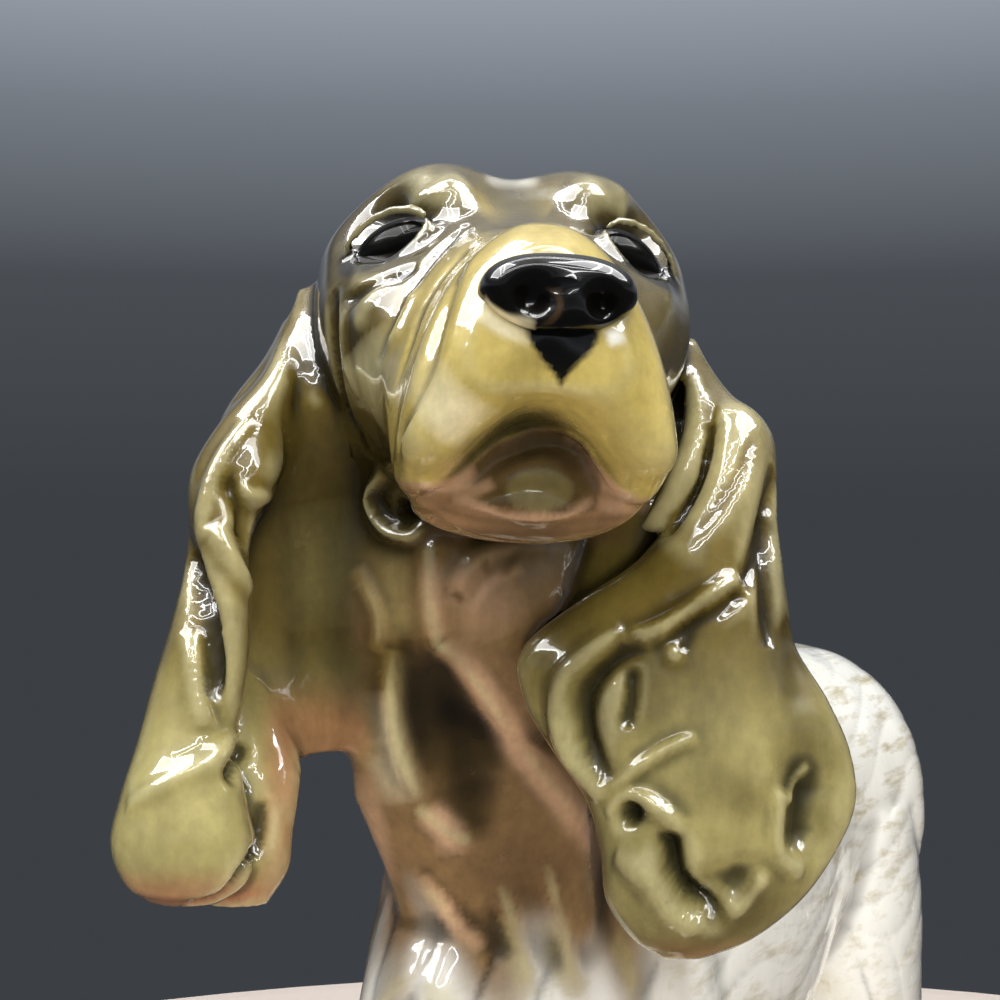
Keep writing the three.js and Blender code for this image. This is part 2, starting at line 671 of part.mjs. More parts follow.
// The hollow that the slip leaves when it is poured out, with its vent under the belly.
const fullNeck = neckSkin(0);
const vent = new THREE.CylinderGeometry(ventDiameter / 2, ventDiameter / 2, withersHeight, 16);
vent.rotateX(Math.PI / 2).translate(0, 0.3 * hipReach, 0.2 * withersHeight);
const trunkEnds = slab(1, wall - shoulderReach - chestOverhang, hipReach + rumpOverhang - wall);
const trunkHollow = trunk(-wall, 10, 12).intersect(trunkEnds);
const neckFloor = brisket + 0.48 * briskDepth; // the bore opens into the hollow of the trunk
torso = torso
  .add(fullNeck)
  .intersect(leaningSlab(-farAway, -seamDepth))
  .subtract(trunkHollow)
  .subtract(neckBore.intersect(above(neckFloor)))
  .subtract(solidOf(vent));
place(dog, "torso", largest(torso), paleHair);
const neckRing = fullNeck.subtract(neckBore).intersect(leaningSlab(-seatGap - slip, -seatGap));
place(dog, "neck_slip_joint", neckRing, firedSlip);

// The head is worked out in its own turned frame, hollow to the neck.
const upperNeck = carried(fullNeck.intersect(leaningSlab(0, farAway)), toHead);
const face = skullSkin(0).add(jaw()).add(nose()).add(eyeball(1)).add(eyeball(-1));
const head = face.add(upperNeck).subtract(skullHollow()).subtract(carried(neckBore, toHead));
place(headGroup, "head", largest(head), darkHair);

for (const [name, side] of [["left_ear", 1], ["right_ear", -1]]) {
  const form = ear(side);
  const seat = (gap) => skullSkin(gap).add(carried(neckSkin(gap), toHead));
  const joint = form.intersect(seat(seatGap + slip)).subtract(seat(seatGap));
  place(headGroup, `${name}_slip_joint`, largest(joint), firedSlip);
  place(headGroup, name, largest(form.subtract(seat(seamDepth))), darkHair);
}
dog.add(headGroup);

// The origin is on the floor under the middle of the whole piece.
dog.updateMatrixWorld(true);
const box = new THREE.Box3().setFromObject(dog, true);
const middle = box.getCenter(vec(0, 0, 0));
dog.position.set(-middle.x, -middle.y, -box.min.z);

export default dog;
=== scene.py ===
# A standing glazed-china spaniel, dressed over its imported solids: thick painted glaze on modelled clay.
import math

import bpy
import numpy as np
from mathutils.bvhtree import BVHTree
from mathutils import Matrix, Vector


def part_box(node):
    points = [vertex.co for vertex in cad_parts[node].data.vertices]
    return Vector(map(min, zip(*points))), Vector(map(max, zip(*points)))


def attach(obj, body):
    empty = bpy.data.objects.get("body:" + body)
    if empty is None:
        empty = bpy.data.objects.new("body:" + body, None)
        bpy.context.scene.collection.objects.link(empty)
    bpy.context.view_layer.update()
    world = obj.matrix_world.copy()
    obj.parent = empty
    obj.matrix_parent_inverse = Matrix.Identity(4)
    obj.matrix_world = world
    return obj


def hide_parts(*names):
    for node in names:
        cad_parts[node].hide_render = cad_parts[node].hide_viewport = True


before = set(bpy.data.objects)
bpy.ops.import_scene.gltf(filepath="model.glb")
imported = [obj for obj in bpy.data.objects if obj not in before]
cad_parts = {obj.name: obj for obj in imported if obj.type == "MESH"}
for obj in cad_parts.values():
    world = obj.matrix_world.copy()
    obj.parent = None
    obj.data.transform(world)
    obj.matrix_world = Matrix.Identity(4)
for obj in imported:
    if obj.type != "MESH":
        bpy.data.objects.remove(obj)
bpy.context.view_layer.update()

mm = 0.001  # shapes are worked out in millimetres and put into the meshes in metres

# Sizes, the same as the solids': the dog faces -Y, its left is +X and it stands on the floor
torso = {
    "withersHeight": 89, "croupHeight": 86, "briskDepth": 46, "tuckHeight": 53,
    "chestWidth": 31, "loinWidth": 28, "hipWidth": 31,
    "shoulderReach": 31, "hipReach": 33, "chestOverhang": 19, "rumpOverhang": 16,
}
neck = {"width": 21, "depth": 23, "seam": 81, "lean": 32, "seamDepth": 1.2}
head = {
    "eyeHeight": 120, "reach": 21, "offset": 9, "turn": 34, "lift": 9, "tilt": 2.5,
    "skullWidth": 26.8, "skullLength": 25, "crownHeight": 6.8, "cheekDepth": 20,
    "muzzleLength": 25, "muzzleWidth": 17.2, "muzzleDrop": 23, "bridgeDrop": 2, "jawDepth": 5,
}
tail = {
    "length": 27, "width": 9.5, "seam": 9.5, "seatGap": 0.3,
    "rootBack": 0.56, "rootHeight": 0.905, "droop": 0.18,  # shares of the rump, the croup and the length
}
brisket = torso["withersHeight"] - torso["briskDepth"]

# The solids' own middle: the torso's box gives it across, the tail's joint gives it along
tailRootY = torso["hipReach"] + tail["rootBack"] * torso["rumpOverhang"]
torsoBox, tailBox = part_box("torso"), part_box("tail_slip_joint")
origin = np.array([
    0.5 * (torsoBox[0].x + torsoBox[1].x) / mm,
    tailBox[0].y / mm - tailRootY - tail["seam"] - tail["seatGap"],
    0,
])


def turnAbout(axis, angle):
    # A rotation matrix about one coordinate axis
    c, s = math.cos(math.radians(angle)), math.sin(math.radians(angle))
    matrix = np.eye(3)
    i, j = (axis + 1) % 3, (axis + 2) % 3
    matrix[i, i], matrix[i, j], matrix[j, i], matrix[j, j] = c, -s, s, c
    return matrix


headTurn = turnAbout(2, head["turn"]) @ turnAbout(0, -head["lift"]) @ turnAbout(1, head["tilt"])
eyePlace = origin + [head["offset"], -torso["shoulderReach"] - head["reach"], head["eyeHeight"]]


def fromHead(points):
    # From the head's own frame, which starts between the eyes, to the dog's
    return np.asarray(points, float) @ headTurn.T + eyePlace


def toHead(points):
    # The way back: the turn's transpose is its inverse
    return (points - eyePlace) @ headTurn


# Camera: level with the dog's chin, turned to its left, close up; the picture is a square of pixels
photo = {
    "azimuth": 28, "distance": 130, "left": 0.57, "below": 17.9, "focal": 1.82, "sensor": 36,
    "nearest": 0.005, "pixels": 1000,
}
viewX = turnAbout(2, photo["azimuth"]) @ [1, 0, 0]
viewY = turnAbout(2, photo["azimuth"]) @ [0, 1, 0]
lensPlace = eyePlace - photo["left"] * viewX - photo["distance"] * viewY - [0, 0, photo["below"]]


def addCamera():
    data = bpy.data.cameras.new("photoCamera")
    data.sensor_width = photo["sensor"]
    data.lens = photo["sensor"] * photo["focal"]
    data.clip_start = photo["nearest"]
    camera = bpy.data.objects.new("photoCamera", data)
    camera.location = lensPlace * mm
    camera.rotation_euler = (math.radians(90), 0, math.radians(photo["azimuth"]))
    bpy.context.collection.objects.link(camera)
    bpy.context.scene.camera = camera


addCamera()


# Numpy surfaces

def smoothRun(values, t):
    # Catmull-Rom: the cubic through evenly spaced control rows, read at shares t from 0 to 1
    values = np.asarray(values, float)
    ends = np.concatenate([2 * values[:1] - values[1:2], values, 2 * values[-1:] - values[-2:-1]])
    place = np.clip(t, 0, 1) * (len(values) - 1)
    i = np.minimum(place.astype(int), len(values) - 2)
    f = (place - i)[:, None]
    a, b, c, d = ends[i], ends[i + 1], ends[i + 2], ends[i + 3]
    return b + f * (c - a + f * (2 * a - 5 * b + 4 * c - d + f * (3 * (b - c) + d - a))) / 2


def ramp(low, high, value):
    # Zero at low, one at high, and 3t^2 - 2t^3 between them; low may be the larger
    t = np.clip((value - low) / (high - low), 0, 1)
    return t * t * (3 - 2 * t)


def section(at, wide, up, down, square=2, narrow=0):
    # One control row of a loft: middle, half width, half heights, squareness and how its upper half narrows
    return [*at, wide, up, down, square, narrow]


def loft(sections, rings, sides, across=(1, 0, 0), up=(0, 0, 1)):
    # A ring at angle a is the middle + across * wide * sgn(cos a)|cos a|^(2/square) * (1 - narrow * sin a)
    # + up * tall * sgn(sin a)|sin a|^(2/square); tall is the half height above or below the middle, and
    # only the upper half narrows
    run = smoothRun(sections, np.linspace(0, 1, rings))
    angle = np.linspace(0, 2 * math.pi, sides, endpoint=False)
    c, s = np.cos(angle), np.sin(angle)
    power = 2 / run[:, 6:7]
    least = 0.2
    wide = np.maximum(run[:, 3:4], least) * (1 - run[:, 7:8] * np.maximum(s, 0))
    tall = np.maximum(np.where(s > 0, run[:, 4:5], run[:, 5:6]), least)
    out = (np.sign(c) * np.abs(c) ** power * wide)[..., None]
    rise = (np.sign(s) * np.abs(s) ** power * tall)[..., None]
    across, up = (np.broadcast_to(np.asarray(v, float), (rings, 3))[:, None] for v in (across, up))
    return run[:, None, :3] + out * across + rise * up


def ball(middle, radii, matrix=np.eye(3), rings=40, sides=56):
    # An ellipsoid: middle + matrix * (rx cos a sin b, ry sin a sin b, rz cos b)
    a = np.linspace(0, 2 * math.pi, sides, endpoint=False)[None]
    pole = 0.02  # leaves a small opening at each end for closedGrid
    b = np.linspace(pole, math.pi - pole, rings)[:, None]
    unit = np.stack([np.cos(a) * np.sin(b), np.sin(a) * np.sin(b), np.cos(b) + 0 * a], -1)
    return np.asarray(middle, float) + (unit * radii) @ np.asarray(matrix).T


def tube(path, radius, rings=60, sides=16):
    # A circle carried along a smooth path, thinning to both ends as the fourth root of sin(pi t)
    t = np.linspace(0, 1, rings)
    middle = smoothRun(path, t)
    along = np.gradient(middle, axis=0)
    along /= np.linalg.norm(along, axis=1, keepdims=True)
    slanted = [0.3, 0.2, 0.93]  # a direction that no path here follows
    side = np.cross(along, slanted)
    side /= np.linalg.norm(side, axis=1, keepdims=True)
    other = np.cross(along, side)
    angle = np.linspace(0, 2 * math.pi, sides, endpoint=False)[None, :, None]
    thinnest = 0.01
    size = (radius * np.maximum(np.sin(math.pi * t), thinnest) ** 0.25)[:, None, None]
    return middle[:, None] + size * (np.cos(angle) * side[:, None] + np.sin(angle) * other[:, None])


def closedGrid(grid):
    # Rings of points to triangles; a middle point closes each end, and the faces are turned outwards
    rings, sides = grid.shape[:2]
    points = np.concatenate([grid.reshape(-1, 3), grid[0].mean(0)[None], grid[-1].mean(0)[None]])
    r, k = np.meshgrid(np.arange(rings - 1), np.arange(sides), indexing="ij")
    n = (k + 1) % sides
    a, b, c, d = r * sides + k, r * sides + n, (r + 1) * sides + n, (r + 1) * sides + k
    walls = np.stack([a, b, c, a, c, d], -1).reshape(-1, 3)
    k, n = np.arange(sides), (np.arange(sides) + 1) % sides
    first, last = np.full(sides, rings * sides), np.full(sides, rings * sides + 1)
    foot = (rings - 1) * sides
    ends = np.concatenate([np.stack([n, k, first], 1), np.stack([foot + k, foot + n, last], 1)])
    triangles = np.concatenate([walls, ends])
    a, b, c = (points[triangles[:, i]] - points.mean(0) for i in range(3))
    outwards = (np.cross(a, b) * c).sum() > 0
    return points, triangles if outwards else triangles[:, ::-1]


def clay(points, lumps):
    # Each lump moves the points near it by push * exp(-r^2 / 2), r measured in the lump's own reaches
    moved = points.copy()
    for at, reach, push in lumps:
        r = (points - at) / reach
        moved += np.exp(-0.5 * (r * r).sum(-1, keepdims=True)) * push
    return moved


def bothSides(at, reach, push):
    # A lump and its mirror image
    flip = np.array([-1, 1, 1])
    at, reach, push = (np.asarray(v, float) for v in (at, reach, push))
    return [(at, reach, push), (at * flip, reach, push * flip)]


# Skins: shells fused by a voxel remesh, then worked as arrays

def fillMesh(name, points, triangles):
    # Points in millimetres and triangles to a smooth-shaded mesh in metres
    mesh = bpy.data.meshes.new(name)
    mesh.vertices.add(len(points))
    mesh.vertices.foreach_set("co", (points * mm).astype(np.float32).ravel())
    mesh.loops.add(3 * len(triangles))
    mesh.loops.foreach_set("vertex_index", triangles.astype(np.int32).ravel())
    mesh.polygons.add(len(triangles))
    mesh.polygons.foreach_set("loop_start", np.arange(0, 3 * len(triangles), 3, dtype=np.int32))
    mesh.polygons.foreach_set("use_smooth", np.ones(len(triangles), bool))
    mesh.update(calc_edges=True)
    return mesh


def fuse(name, shells, voxel):
    # Closed shells become one skin: a voxel grid of that size takes their union and keeps each shell's label,
    # which is 0 on head and body, 1 on the left ear and 2 on the right ear
    grids = [closedGrid(grid) for grid, _ in shells]
    starts = np.cumsum([0] + [len(points) for points, _ in grids])
    points = np.concatenate([points for points, _ in grids])
    triangles = np.concatenate([faces + start for (_, faces), start in zip(grids, starts)])
    label = np.concatenate([np.full(len(points), value) for (points, _), (_, value) in zip(grids, shells)])
    mesh = fillMesh(name, points, triangles)
    mesh.attributes.new("label", "FLOAT", "POINT").data.foreach_set("value", label.astype(np.float32))
    mesh.remesh_voxel_size = voxel * mm
    mesh.use_remesh_preserve_attributes = True
    mesh.use_remesh_preserve_volume = False
    mesh.use_remesh_fix_poles = False
    clayObject = bpy.data.objects.new(name, mesh)
    bpy.context.collection.objects.link(clayObject)
    bpy.ops.object.select_all(action="DESELECT")
    clayObject.select_set(True)
    bpy.context.view_layer.objects.active = clayObject
    bpy.ops.object.voxel_remesh()
    mesh = clayObject.data
    points = np.empty(3 * len(mesh.vertices), np.float32)
    mesh.vertices.foreach_get("co", points)
    label = np.empty(len(mesh.vertices), np.float32)
    mesh.attributes["label"].data.foreach_get("value", label)
    mesh.calc_loop_triangles()
    triangles = np.empty(3 * len(mesh.loop_triangles), np.int32)
    mesh.loop_triangles.foreach_get("vertices", triangles)
    bpy.data.objects.remove(clayObject)
    bpy.data.meshes.remove(mesh)
    print("fused", name, len(label), "points")
    return Skin(points.reshape(-1, 3).astype(float) / mm, triangles.reshape(-1, 3), label)


class Skin:
    def __init__(self, points, triangles, label):
        self.points, self.triangles, self.label = points, triangles, label
        rims = np.concatenate([triangles[:, [0, 1]], triangles[:, [1, 2]], triangles[:, [2, 0]]])
        self.edges = np.unique(np.sort(rims, axis=1), axis=0)
        self.degree = np.bincount(self.edges.ravel(), minlength=len(points))[:, None]

    def around(self, values):
        # The mean of each point's neighbours
        i, j = self.edges.T
        count = len(self.points)
        columns = values.reshape(count, -1).T
        total = [np.bincount(i, v[j], count) + np.bincount(j, v[i], count) for v in columns]
        return np.stack(total, 1) / self.degree

    def relax(self, rounds, pulls=(0.5, -0.52)):
        # Each round moves the points towards their neighbours' mean and back, so that it keeps the volume
        for _ in range(rounds):
            for pull in pulls:
                self.points = self.points + pull * (self.around(self.points) - self.points)

    def normals(self):
        # The sum of the normals of the triangles round each point, weighted by their areas
        a, b, c = (self.points[self.triangles[:, k]] for k in range(3))
        flat = np.cross(b - a, c - a)
        count = len(self.points)
        corners = self.triangles.ravel()
        spread = np.repeat(flat, 3, axis=0)
        total = np.stack([np.bincount(corners, spread[:, k], count) for k in range(3)], 1)
        return total / np.maximum(np.linalg.norm(total, axis=1, keepdims=True), 1e-12)

    def fillet(self, rounds, sharpness):
        # Glaze pools in the creases: the points where the surface turns inwards are drawn to their neighbours
        draw, gain = 0.6, 2
        for _ in range(rounds):
            pull = self.around(self.points) - self.points
            inwards = np.clip((pull * self.normals()).sum(1, keepdims=True) * sharpness, 0, 1)
            inwards = self.around(self.around(inwards))
            self.points = self.points + draw * np.clip(gain * inwards, 0, 1) * pull

    def soften(self, mask, rounds):
        # Draws the masked points to their neighbours' mean, as a soap film draws a fold flat
        for _ in range(rounds):
            self.points = self.points + 0.5 * mask[:, None] * (self.around(self.points) - self.points)

    def hollow(self, rounds):
        # How far each point lies under the mean of its surroundings, in millimetres
        mean = self.points
        for _ in range(rounds):
            mean = self.around(mean)
        return ((mean - self.points) * self.normals()).sum(1)

    def push(self, lift):
        # Moves each point along its normal
        self.points = self.points + lift[:, None] * self.normals()


def pathWeight(points, path, width, power=2.0, taper=0.25):
    # exp(-(distance to the path / width)^power), fading over a share of the path at each end
    reach = 3 * width
    jump, far = 4, 1e3  # a step longer than this goes to a surface further back and is no part of the stroke
    near = np.nonzero(((points > path.min(0) - reach) & (points < path.max(0) + reach)).all(1))[0]
    start, span = path[:-1], np.diff(path, axis=0)
    size = (span * span).sum(1)
    weight = np.zeros(len(points))
    if len(near) == 0:
        return weight
    off = points[near][:, None] - start
    along = np.clip((off * span).sum(2) / np.maximum(size, 1e-9), 0, 1)
    gap = np.linalg.norm(off - along[..., None] * span, axis=2)
    gap[:, size > jump ** 2] = far
    best = gap.argmin(1)
    rows = np.arange(len(near))
    place = (best + along[rows, best]) / len(span)
    fade = np.clip(np.minimum(place, 1 - place) / taper, 0, 1) if taper else 1.0
    weight[near] = np.exp(-(gap[rows, best] / width) ** power) * np.sqrt(fade)
    return weight


def seenAt(points):
    # The pixel that each point is seen at
    off = points - lensPlace
    scale = photo["pixels"] * photo["focal"] / (off @ viewY)
    half = photo["pixels"] / 2
    return half + scale * (off @ viewX), half - scale * off[:, 2]


def sightLine(pixels):
    # The direction from the lens through a pixel, one unit deep
    focal = photo["pixels"] * photo["focal"]
    across, down = (np.asarray(pixels, float).T - photo["pixels"] / 2) / focal
    return viewY + np.outer(across, viewX) - np.outer(down, [0, 0, 1])


class Photo:
    # Pixels of the picture, carried along their sight lines to the skin that they meet
    def __init__(self, skin):
        self.tree = BVHTree.FromPolygons(skin.points.tolist(), skin.triangles.tolist())

    def trace(self, pixels, steps=6):
        pixels = np.asarray(pixels, float)
        if len(pixels) > 1:
            pixels = smoothRun(pixels, np.linspace(0, 1, steps * (len(pixels) - 1) + 1))
        hits = [self.tree.ray_cast(lensPlace, ray)[0] for ray in sightLine(pixels)]
        return np.array([hit for hit in hits if hit is not None]).reshape(-1, 3)


# Head: skull and muzzle, jaw, lids and neck

def skullShell():
    # Levels from the back of the skull to the lip, in shares of the head's sizes
    h = head
    halfSkull, halfMuzzle = h["skullWidth"] / 2, h["muzzleWidth"] / 2
    back, front = h["skullLength"], -h["muzzleLength"]
    crown, cheek, drop, bridge = h["crownHeight"], h["cheekDepth"], h["muzzleDrop"], h["bridgeDrop"]
    widest, lip = -0.2 * crown, -0.78 * drop

    def level(y, wide, middle, top, bottom, square=2, narrow=0):
        return section((0, y, middle), wide, top - middle, middle - bottom, square, narrow)

    grid = loft([
        level(1.03 * back, 0.1 * halfSkull, -0.27 * cheek, -0.22 * cheek, -0.33 * cheek),
        level(0.98 * back, 0.44 * halfSkull, -0.24 * cheek, widest, -0.55 * cheek),
        level(0.9 * back, 0.76 * halfSkull, 2 * widest, 0.3 * crown, -0.8 * cheek),
        level(0.6 * back, halfSkull, widest, 0.86 * crown, -0.95 * cheek),
        level(0.3 * back, halfSkull, widest, crown, -cheek),
        level(0, 0.95 * halfSkull, widest, 0.86 * crown, -cheek),
        level(0.16 * front, 0.82 * halfSkull, 2.4 * widest, 0.36 * crown, -1.06 * cheek, 2.1),
        level(0.34 * front, 1.04 * halfMuzzle, 0.6 * lip, -0.3 * bridge, -0.98 * drop, 2.3, 0.15),
        level(0.55 * front, halfMuzzle, lip, -bridge, -drop, 2.4, 0.3),
        level(0.75 * front, halfMuzzle, lip, -1.5 * bridge, -0.98 * drop, 2.4, 0.33),
        level(0.9 * front, 0.92 * halfMuzzle, lip, -2.1 * bridge, -0.92 * drop, 2.4, 0.33),
        level(front, 0.55 * halfMuzzle, 0.8 * lip, -3.5 * bridge, -0.76 * drop, 2.2, 0.3),
    ], 160, 128)
    return clay(grid, faceLumps())


def faceLumps():
    # Brows, stop, eye sockets and cheeks in hundredths of the skull's width; flews and mouth in shares of the
    # muzzle's sizes; the bridge's dip and the flews' lift in millimetres
    h = head
    unit = h["skullWidth"] / 100
    wide, long, drop = h["muzzleWidth"], h["muzzleLength"], h["muzzleDrop"]

    def inFace(*sizes):
        return [np.array(v, float) * unit for v in sizes]

    return [
        *bothSides(*inFace((23, -6, 17), (13, 12, 11), (1, -4.5, 2.2))),
        tuple(inFace((0, -9, 18), (7, 22, 19), (0, 3, -3))),
        *bothSides(*inFace((35, -13, 1), (10, 11, 8), (-7, 9, 0))),
        *bothSides(*inFace((43, -4, -26), (11, 19, 15), (3.4, -2.2, 0))),
        *bothSides((0.44 * wide, -0.6 * long, -0.91 * drop), (0.15 * wide, 0.22 * long, 0.18 * drop),
                   (-0.03 * wide, -0.04 * long, -0.06 * drop)),
        (np.array([0, -0.76 * long, -drop]), np.array([0.2 * wide, 0.28 * long, 0.19 * drop]),
         np.array([0, 0.1 * long, 0.27 * drop])),
        (np.array([0, -0.72 * long, -0.15 * drop]), np.array([6, 7, 4]), np.array([0, 0, -1.3])),
        *bothSides((0.46 * wide, -0.66 * long, -drop), (4, 8, 3), (0, 0, 1.7)),
    ]


def jawShells():
    # A broad jaw tucked up between the flews, and the round of the chin on its front
    h = head

    def level(share, wide, middle, up, down):
        at = (0, -share * h["muzzleLength"], -middle * h["muzzleDrop"])
        return section(at, wide * h["muzzleWidth"], up * h["jawDepth"], down * h["jawDepth"])

    plate = loft([
        level(0.12, 0.37, 0.8, 0.8, 0.6),
        level(0.42, 0.4, 0.88, 0.5, 0.46),
        level(0.58, 0.4, 0.9, 0.34, 0.26),
        level(0.65, 0.3, 0.91, 0.28, 0.2),
        level(0.7, 0.12, 0.91, 0.1, 0.1),
    ], 80, 80)
    palate = ball((0.4, -0.57 * h["muzzleLength"], -0.84 * h["muzzleDrop"]), (7.4, 3.0, 3.8))
    chin = ball((0.4, -0.64 * h["muzzleLength"], -0.9 * h["muzzleDrop"]), (3.0, 1.7, 1.6))
    return [plate, palate, chin]


# Eyes: almond balls set into the sockets, with a rolled lid above and below
eyes = {"at": (8.4, -3.2, -1.4), "ball": (3.5, 1.9, 2.1), "yaw": 36, "slant": -20, "sink": 0.7,
        "upperLid": 0.32, "lowerLid": 0.66, "long": 3.6, "above": 2.05, "below": 1.95,
        "lidReach": 0.94, "lidRise": 2.6, "lidFlat": 0.02}


def eyeFrame(side):
    # Columns: along the lids from the nose outwards, out of the face, and up
    turn = turnAbout(2, eyes["yaw"]) @ turnAbout(1, -eyes["slant"])
    return np.diag([side, 1, 1]) @ turn


def eyeShell(side):
    # The ball, sunk along its own axis
    at = np.array(eyes["at"]) * [side, 1, 1] + eyes["sink"] * eyeFrame(side)[:, 1]
    return ball(at, eyes["ball"], eyeFrame(side))


def lidShells(side):
    # A lid is a tube on the arc (-long cos a, -bulge, high sin a); the bulge is the depth of the ball times
    # the root of 1 - (reach cos a)^2 - (high sin a / rise)^2
    e = eyes
    a = np.linspace(0, math.pi, 9)
    shells = []
    for high, thick in ((e["above"], e["upperLid"]), (-e["below"], e["lowerLid"])):
        left = 1 - (e["lidReach"] * np.cos(a)) ** 2 - (high * np.sin(a) / e["lidRise"]) ** 2
        bulge = e["ball"][1] * np.sqrt(np.maximum(left, e["lidFlat"]))
        arc = np.stack([-e["long"] * np.cos(a), -bulge, high * np.sin(a)], 1)
        shells.append(tube(np.array(e["at"]) * [side, 1, 1] + arc @ eyeFrame(side).T, thick))
    return shells


# Nose: a rounded pad with two nostrils
nose = {
    "middle": 0.5, "height": -10.2, "tip": -26.9, "width": 9.2, "tall": 5.0, "depth": 5.4,
    "square": 2.4, "shield": 0.26, "overhang": -0.06,
    "nostrils": ((-1.2, 0.8), (2.9, 0.62)), "nostrilDrop": 0.8, "nostrilDepth": 1.5,
}


def noseShell():
    # Levels from the back of the pad to its tip, hung upside down so that its lower half narrows
    n = nose

    def level(back, wide, up, down):
        at = (n["middle"], n["tip"] + back * n["depth"], n["height"])
        half = n["tall"] / 2
        return section(at, wide * n["width"] / 2, down * half, up * half, n["square"], n["shield"])

    grid = loft([
        level(1, 0.94, 0.85, 0.6),
        level(0.63, 1, 1, 0.85),
        level(0.32, 0.98, 0.97, 0.94),
        level(0.13, 0.87, 0.82, 0.86),
        level(0.03, 0.64, 0.56, 0.62),
        level(0, 0.2, 0.2, 0.2),
    ], 110, 140, up=(0, 0, -1))
    front, low = n["tip"], n["height"]
    grid[..., 1] -= n["overhang"] * (grid[..., 2] - low)
    lumps = [((x, front + 0.3, low - n["nostrilDrop"]), (wide, 1.3, wide), (0, n["nostrilDepth"], 0.2))
             for x, wide in n["nostrils"]]
    return clay(grid, lumps)


def neckShell():
    # Levels from inside the chest to the nape, which turn with the head; it also sets the seam's middle
    n = neck
    half, deep = n["width"] / 2, n["depth"] / 2
    throat = fromHead([0, 0.5 * head["skullLength"], -1.3 * head["cheekDepth"]]) - origin
    nape = fromHead([0, 0.42 * head["skullLength"], -0.6 * head["cheekDepth"]]) - origin
    foot, root = -torso["shoulderReach"], torso["withersHeight"] - 0.6 * torso["briskDepth"]
    middle = 0.5 * (foot + throat[1])
    turn = np.radians(head["turn"] * np.linspace(0, 1, 90))
    across = np.stack([np.cos(turn), np.sin(turn), 0 * turn], 1)
    up = np.stack([np.sin(turn), -np.cos(turn), 0 * turn], 1)
    neck["middle"] = origin + [0, middle, n["seam"]]
    return origin + loft([
        section((0, foot, root), 1.08 * half, 1.4 * deep, 1.2 * deep),
        section((0, foot - 0.1 * n["depth"], 0.5 * (root + n["seam"])), 0.96 * half, 1.1 * deep, 1.3 * deep),
        section((0.3 * throat[0], middle, n["seam"]), half, 0.92 * deep, 1.1 * deep),
        section(throat, 1.06 * half, 0.8 * deep, 0.92 * deep),
        section(nape, 1.06 * half, 0.65 * deep, 0.74 * deep),
    ], 90, 96, across, up)


def aboveNeckSeam(points):
    # Height over the leaning plane of the neck joint
    lean = math.radians(neck["lean"])
    return (points - neck["middle"]) @ np.array([0, -math.sin(lean), math.cos(lean)])


# Ears: rolls, lobes and webs of clay. A row is a level slice: its height and its left and right edges in
# pixels, its depth from the lens, how far it swells to the front and to the back, and how much deeper its
# right edge lies than its left, in millimetres
rightEar = {
    "roll": [(330, 284, 304, 134, 1.5, 2.5), (375, 262, 300, 131, 2.4, 3), (420, 222, 288, 129, 2.8, 3),
             (470, 192, 282, 127, 2.8, 3), (520, 190, 256, 125.5, 2.4, 3), (560, 200, 248, 124.3, 2.2, 3),
             (610, 208, 250, 123.2, 2, 2.6), (660, 214, 248, 122.6, 1.8, 2.4), (710, 216, 240, 122.4, 1.4, 2),
             (740, 218, 232, 122.4, 0.8, 1.2)],
    "strand": [(500, 190, 230, 128, 1.5, 2), (560, 186, 222, 126, 1.8, 2.5), (620, 172, 222, 124.6, 2.2, 2.6),
               (680, 154, 228, 123.4, 2.6, 2.8), (740, 138, 236, 122.2, 3, 3),
               (790, 122, 244, 121.5, 3.8, 3.6), (840, 111, 254, 121.2, 4.4, 4.2),
               (880, 124, 248, 121.2, 3.6, 3.6), (902, 150, 220, 121.4, 1.6, 1.6)],
    "fold": [(560, 222, 262, 130.4, 0.6, 3, 2), (620, 220, 262, 129.8, 0.9, 3, 3),
             (680, 220, 276, 128.8, 1.2, 3, 4), (740, 224, 296, 127.4, 1.6, 3, 4),
             (780, 230, 298, 126.2, 1.8, 3, 3), (830, 228, 292, 125, 1.9, 2.6, 2),
             (870, 222, 288, 124.4, 1.8, 2.4, 1), (905, 205, 266, 124, 1.2, 1.6, 0)],
    "web": [(318, 292, 360, 135, 1.4, 4, 3), (360, 270, 380, 134, 1.8, 5, 5),
            (410, 232, 396, 133.4, 1.8, 5, 8), (470, 210, 408, 133.2, 1.6, 5, 11),
            (540, 208, 416, 133.2, 1.3, 5, 12), (610, 212, 418, 133.2, 1.2, 5, 12),
            (680, 222, 412, 133, 1.2, 5, 12), (725, 236, 404, 132.4, 1.2, 4, 10),
            (764, 276, 384, 131.6, 0.8, 2, 7)],
    "rootFold": [(288, 300, 326, 136, 0.8, 3), (330, 286, 334, 133.6, 1.8, 4), (370, 284, 340, 131.8, 2.1, 5),
                 (410, 290, 344, 131, 2, 5), (450, 300, 348, 131.2, 1.2, 4), (480, 312, 346, 132, 0.5, 2)],
}
